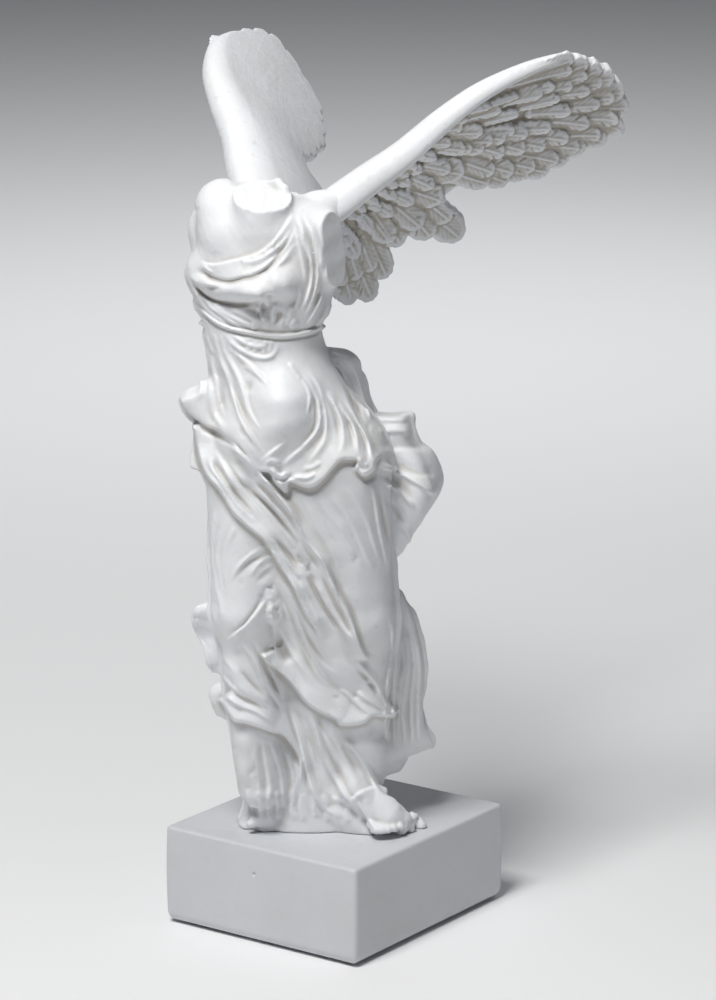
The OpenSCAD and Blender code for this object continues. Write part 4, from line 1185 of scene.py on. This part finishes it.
def plain_material(name, colour, rough, metal, scale, bump, mottle=0.72):
    """A simple metal, paint or felt: one colour with grain in its gloss and surface."""
    mat, nt, shader = tree(name)
    grain = noise(nt, node(nt, "ShaderNodeTexCoord").outputs["Object"], scale, 5.0)
    shader.inputs["Metallic"].default_value = metal
    connect(nt, shader, mixed(nt, grain, colour, [c * mottle for c in colour]),
            mapped(nt, grain, 0.0, 1.0, rough - 0.08, rough + 0.08), bumped(nt, grain, bump, 0.0002))
    return mat


# this strength sets both the painted shade in the hollows and the faint stains; the wings get deeper painted
# shade than the figure
STONE = stone_material("cast_stone", shade_and_stains=0.75)
WING_STONE = stone_material("cast_stone_wing", shade_and_stains=1.3)
# the plinth's stone is given darker and greyer than the figure's
PLINTH_STONE = stone_material("cast_stone_plinth", tint=(0.61, 0.63, 0.66), shade_and_stains=0.35, bump=0.7, rough=0.46)
FELT = plain_material("felt", (0.10, 0.17, 0.125), 0.92, 0.0, 1400.0, 1.0)
STEEL = plain_material("zinc_steel", (0.62, 0.63, 0.65), 0.34, 1.0, 900.0, 0.3)
BRASS = plain_material("brass", (0.72, 0.55, 0.28), 0.30, 1.0, 900.0, 0.3)

for piece, material, cad in ((figure, STONE, "figure"), (left_wing, WING_STONE, "left_wing"),
                             (right_wing, WING_STONE, "right_wing"), (mantle, STONE, "mantle"),
                             (plinth, PLINTH_STONE, "plinth")):
    piece.data.materials.append(material)
    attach(piece, "root")
    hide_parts(cad)

for name, material in (("felt_pad", FELT), ("stud", STEEL), ("stud_insert", BRASS), ("stud_washer", STEEL),
                       ("stud_nut", STEEL), ("left_wing_dowel", STEEL), ("right_wing_dowel", STEEL),
                       ("mantle_dowels", STEEL), ("figure_dowels", STEEL)):
    for slot in bpy.data.objects[name].material_slots:
        slot.material = material


# ---------------------------------------------------------------- floor, light and camera
def area(name, at, aim, size, energy, colour=(1, 1, 1)):
    """A square lamp that faces aim."""
    data = bpy.data.lights.new(name, "AREA")
    data.shape = "RECTANGLE"
    data.size = data.size_y = size
    data.energy = energy
    data.color = colour
    obj = bpy.data.objects.new(name, data)
    bpy.context.scene.collection.objects.link(obj)
    obj.location = Vector(at)
    obj.rotation_euler = (Vector(aim) - Vector(at)).to_track_quat("-Z", "Y").to_euler()


def quarter(right, back, up):
    """A place given from the viewer: right, towards the viewer, and up, in metres from the middle."""
    p = RIGHT * right + np.array([BACK[0], BACK[1], 0]) / np.hypot(BACK[0], BACK[1]) * back
    return Vector((p[0], p[1], up))


FLOOR_REACH = 9
floor_mesh = bpy.data.meshes.new("floor")
floor_corners = [(x * FLOOR_REACH, y * FLOOR_REACH, 0) for x, y in ((-1, -1), (1, -1), (1, 1), (-1, 1))]
floor_mesh.from_pydata(floor_corners, [], [(0, 1, 2, 3)])
floor = bpy.data.objects.new("floor", floor_mesh)
bpy.context.scene.collection.objects.link(floor)
PAINT = plain_material("floor_paint", (0.88, 0.885, 0.895), 0.75, 0.0, 30.0, 0.02, 0.985)
floor.data.materials.append(PAINT)

MIDDLE = (0, 0, 0.2)
area("key", quarter(-0.38, 0.70, 1.5), MIDDLE, 0.5, 24.0, (1.0, 0.99, 0.975))
area("front_fill", quarter(0.9, 1.2, 0.30), MIDDLE, 1.0, 0.7, (0.93, 0.96, 1.0))
area("top", quarter(0.1, -0.4, 1.5), MIDDLE, 0.9, 3.0, (0.97, 0.985, 1.0))
area("backdrop", quarter(0.0, -1.3, 1.3), (-1.6, 2.2, 0), 1.4, 14)
area("back_fill", quarter(0.5, -1.5, 0.9), MIDDLE, 1.2, 0.7, (0.95, 0.97, 1.0))

world_data = bpy.data.worlds.new("studio")
world_data.use_nodes = True
background = world_data.node_tree.nodes["Background"]
background.inputs["Color"].default_value = (0.80, 0.83, 0.88, 1)
background.inputs["Strength"].default_value = 0.08
bpy.context.scene.world = world_data

cam = bpy.data.cameras.new("camera")
cam.lens, cam.sensor_width = 144.0, 36.0
cam.sensor_fit = "VERTICAL"
cam.sensor_height = 36.0
camera = bpy.data.objects.new("camera", cam)
bpy.context.scene.collection.objects.link(camera)
camera.location = Vector(EYE * MM)
camera.rotation_euler = Matrix((RIGHT, UP, BACK)).transposed().to_euler()
bpy.context.scene.camera = camera
bpy.context.scene.view_settings.view_transform = "Standard"
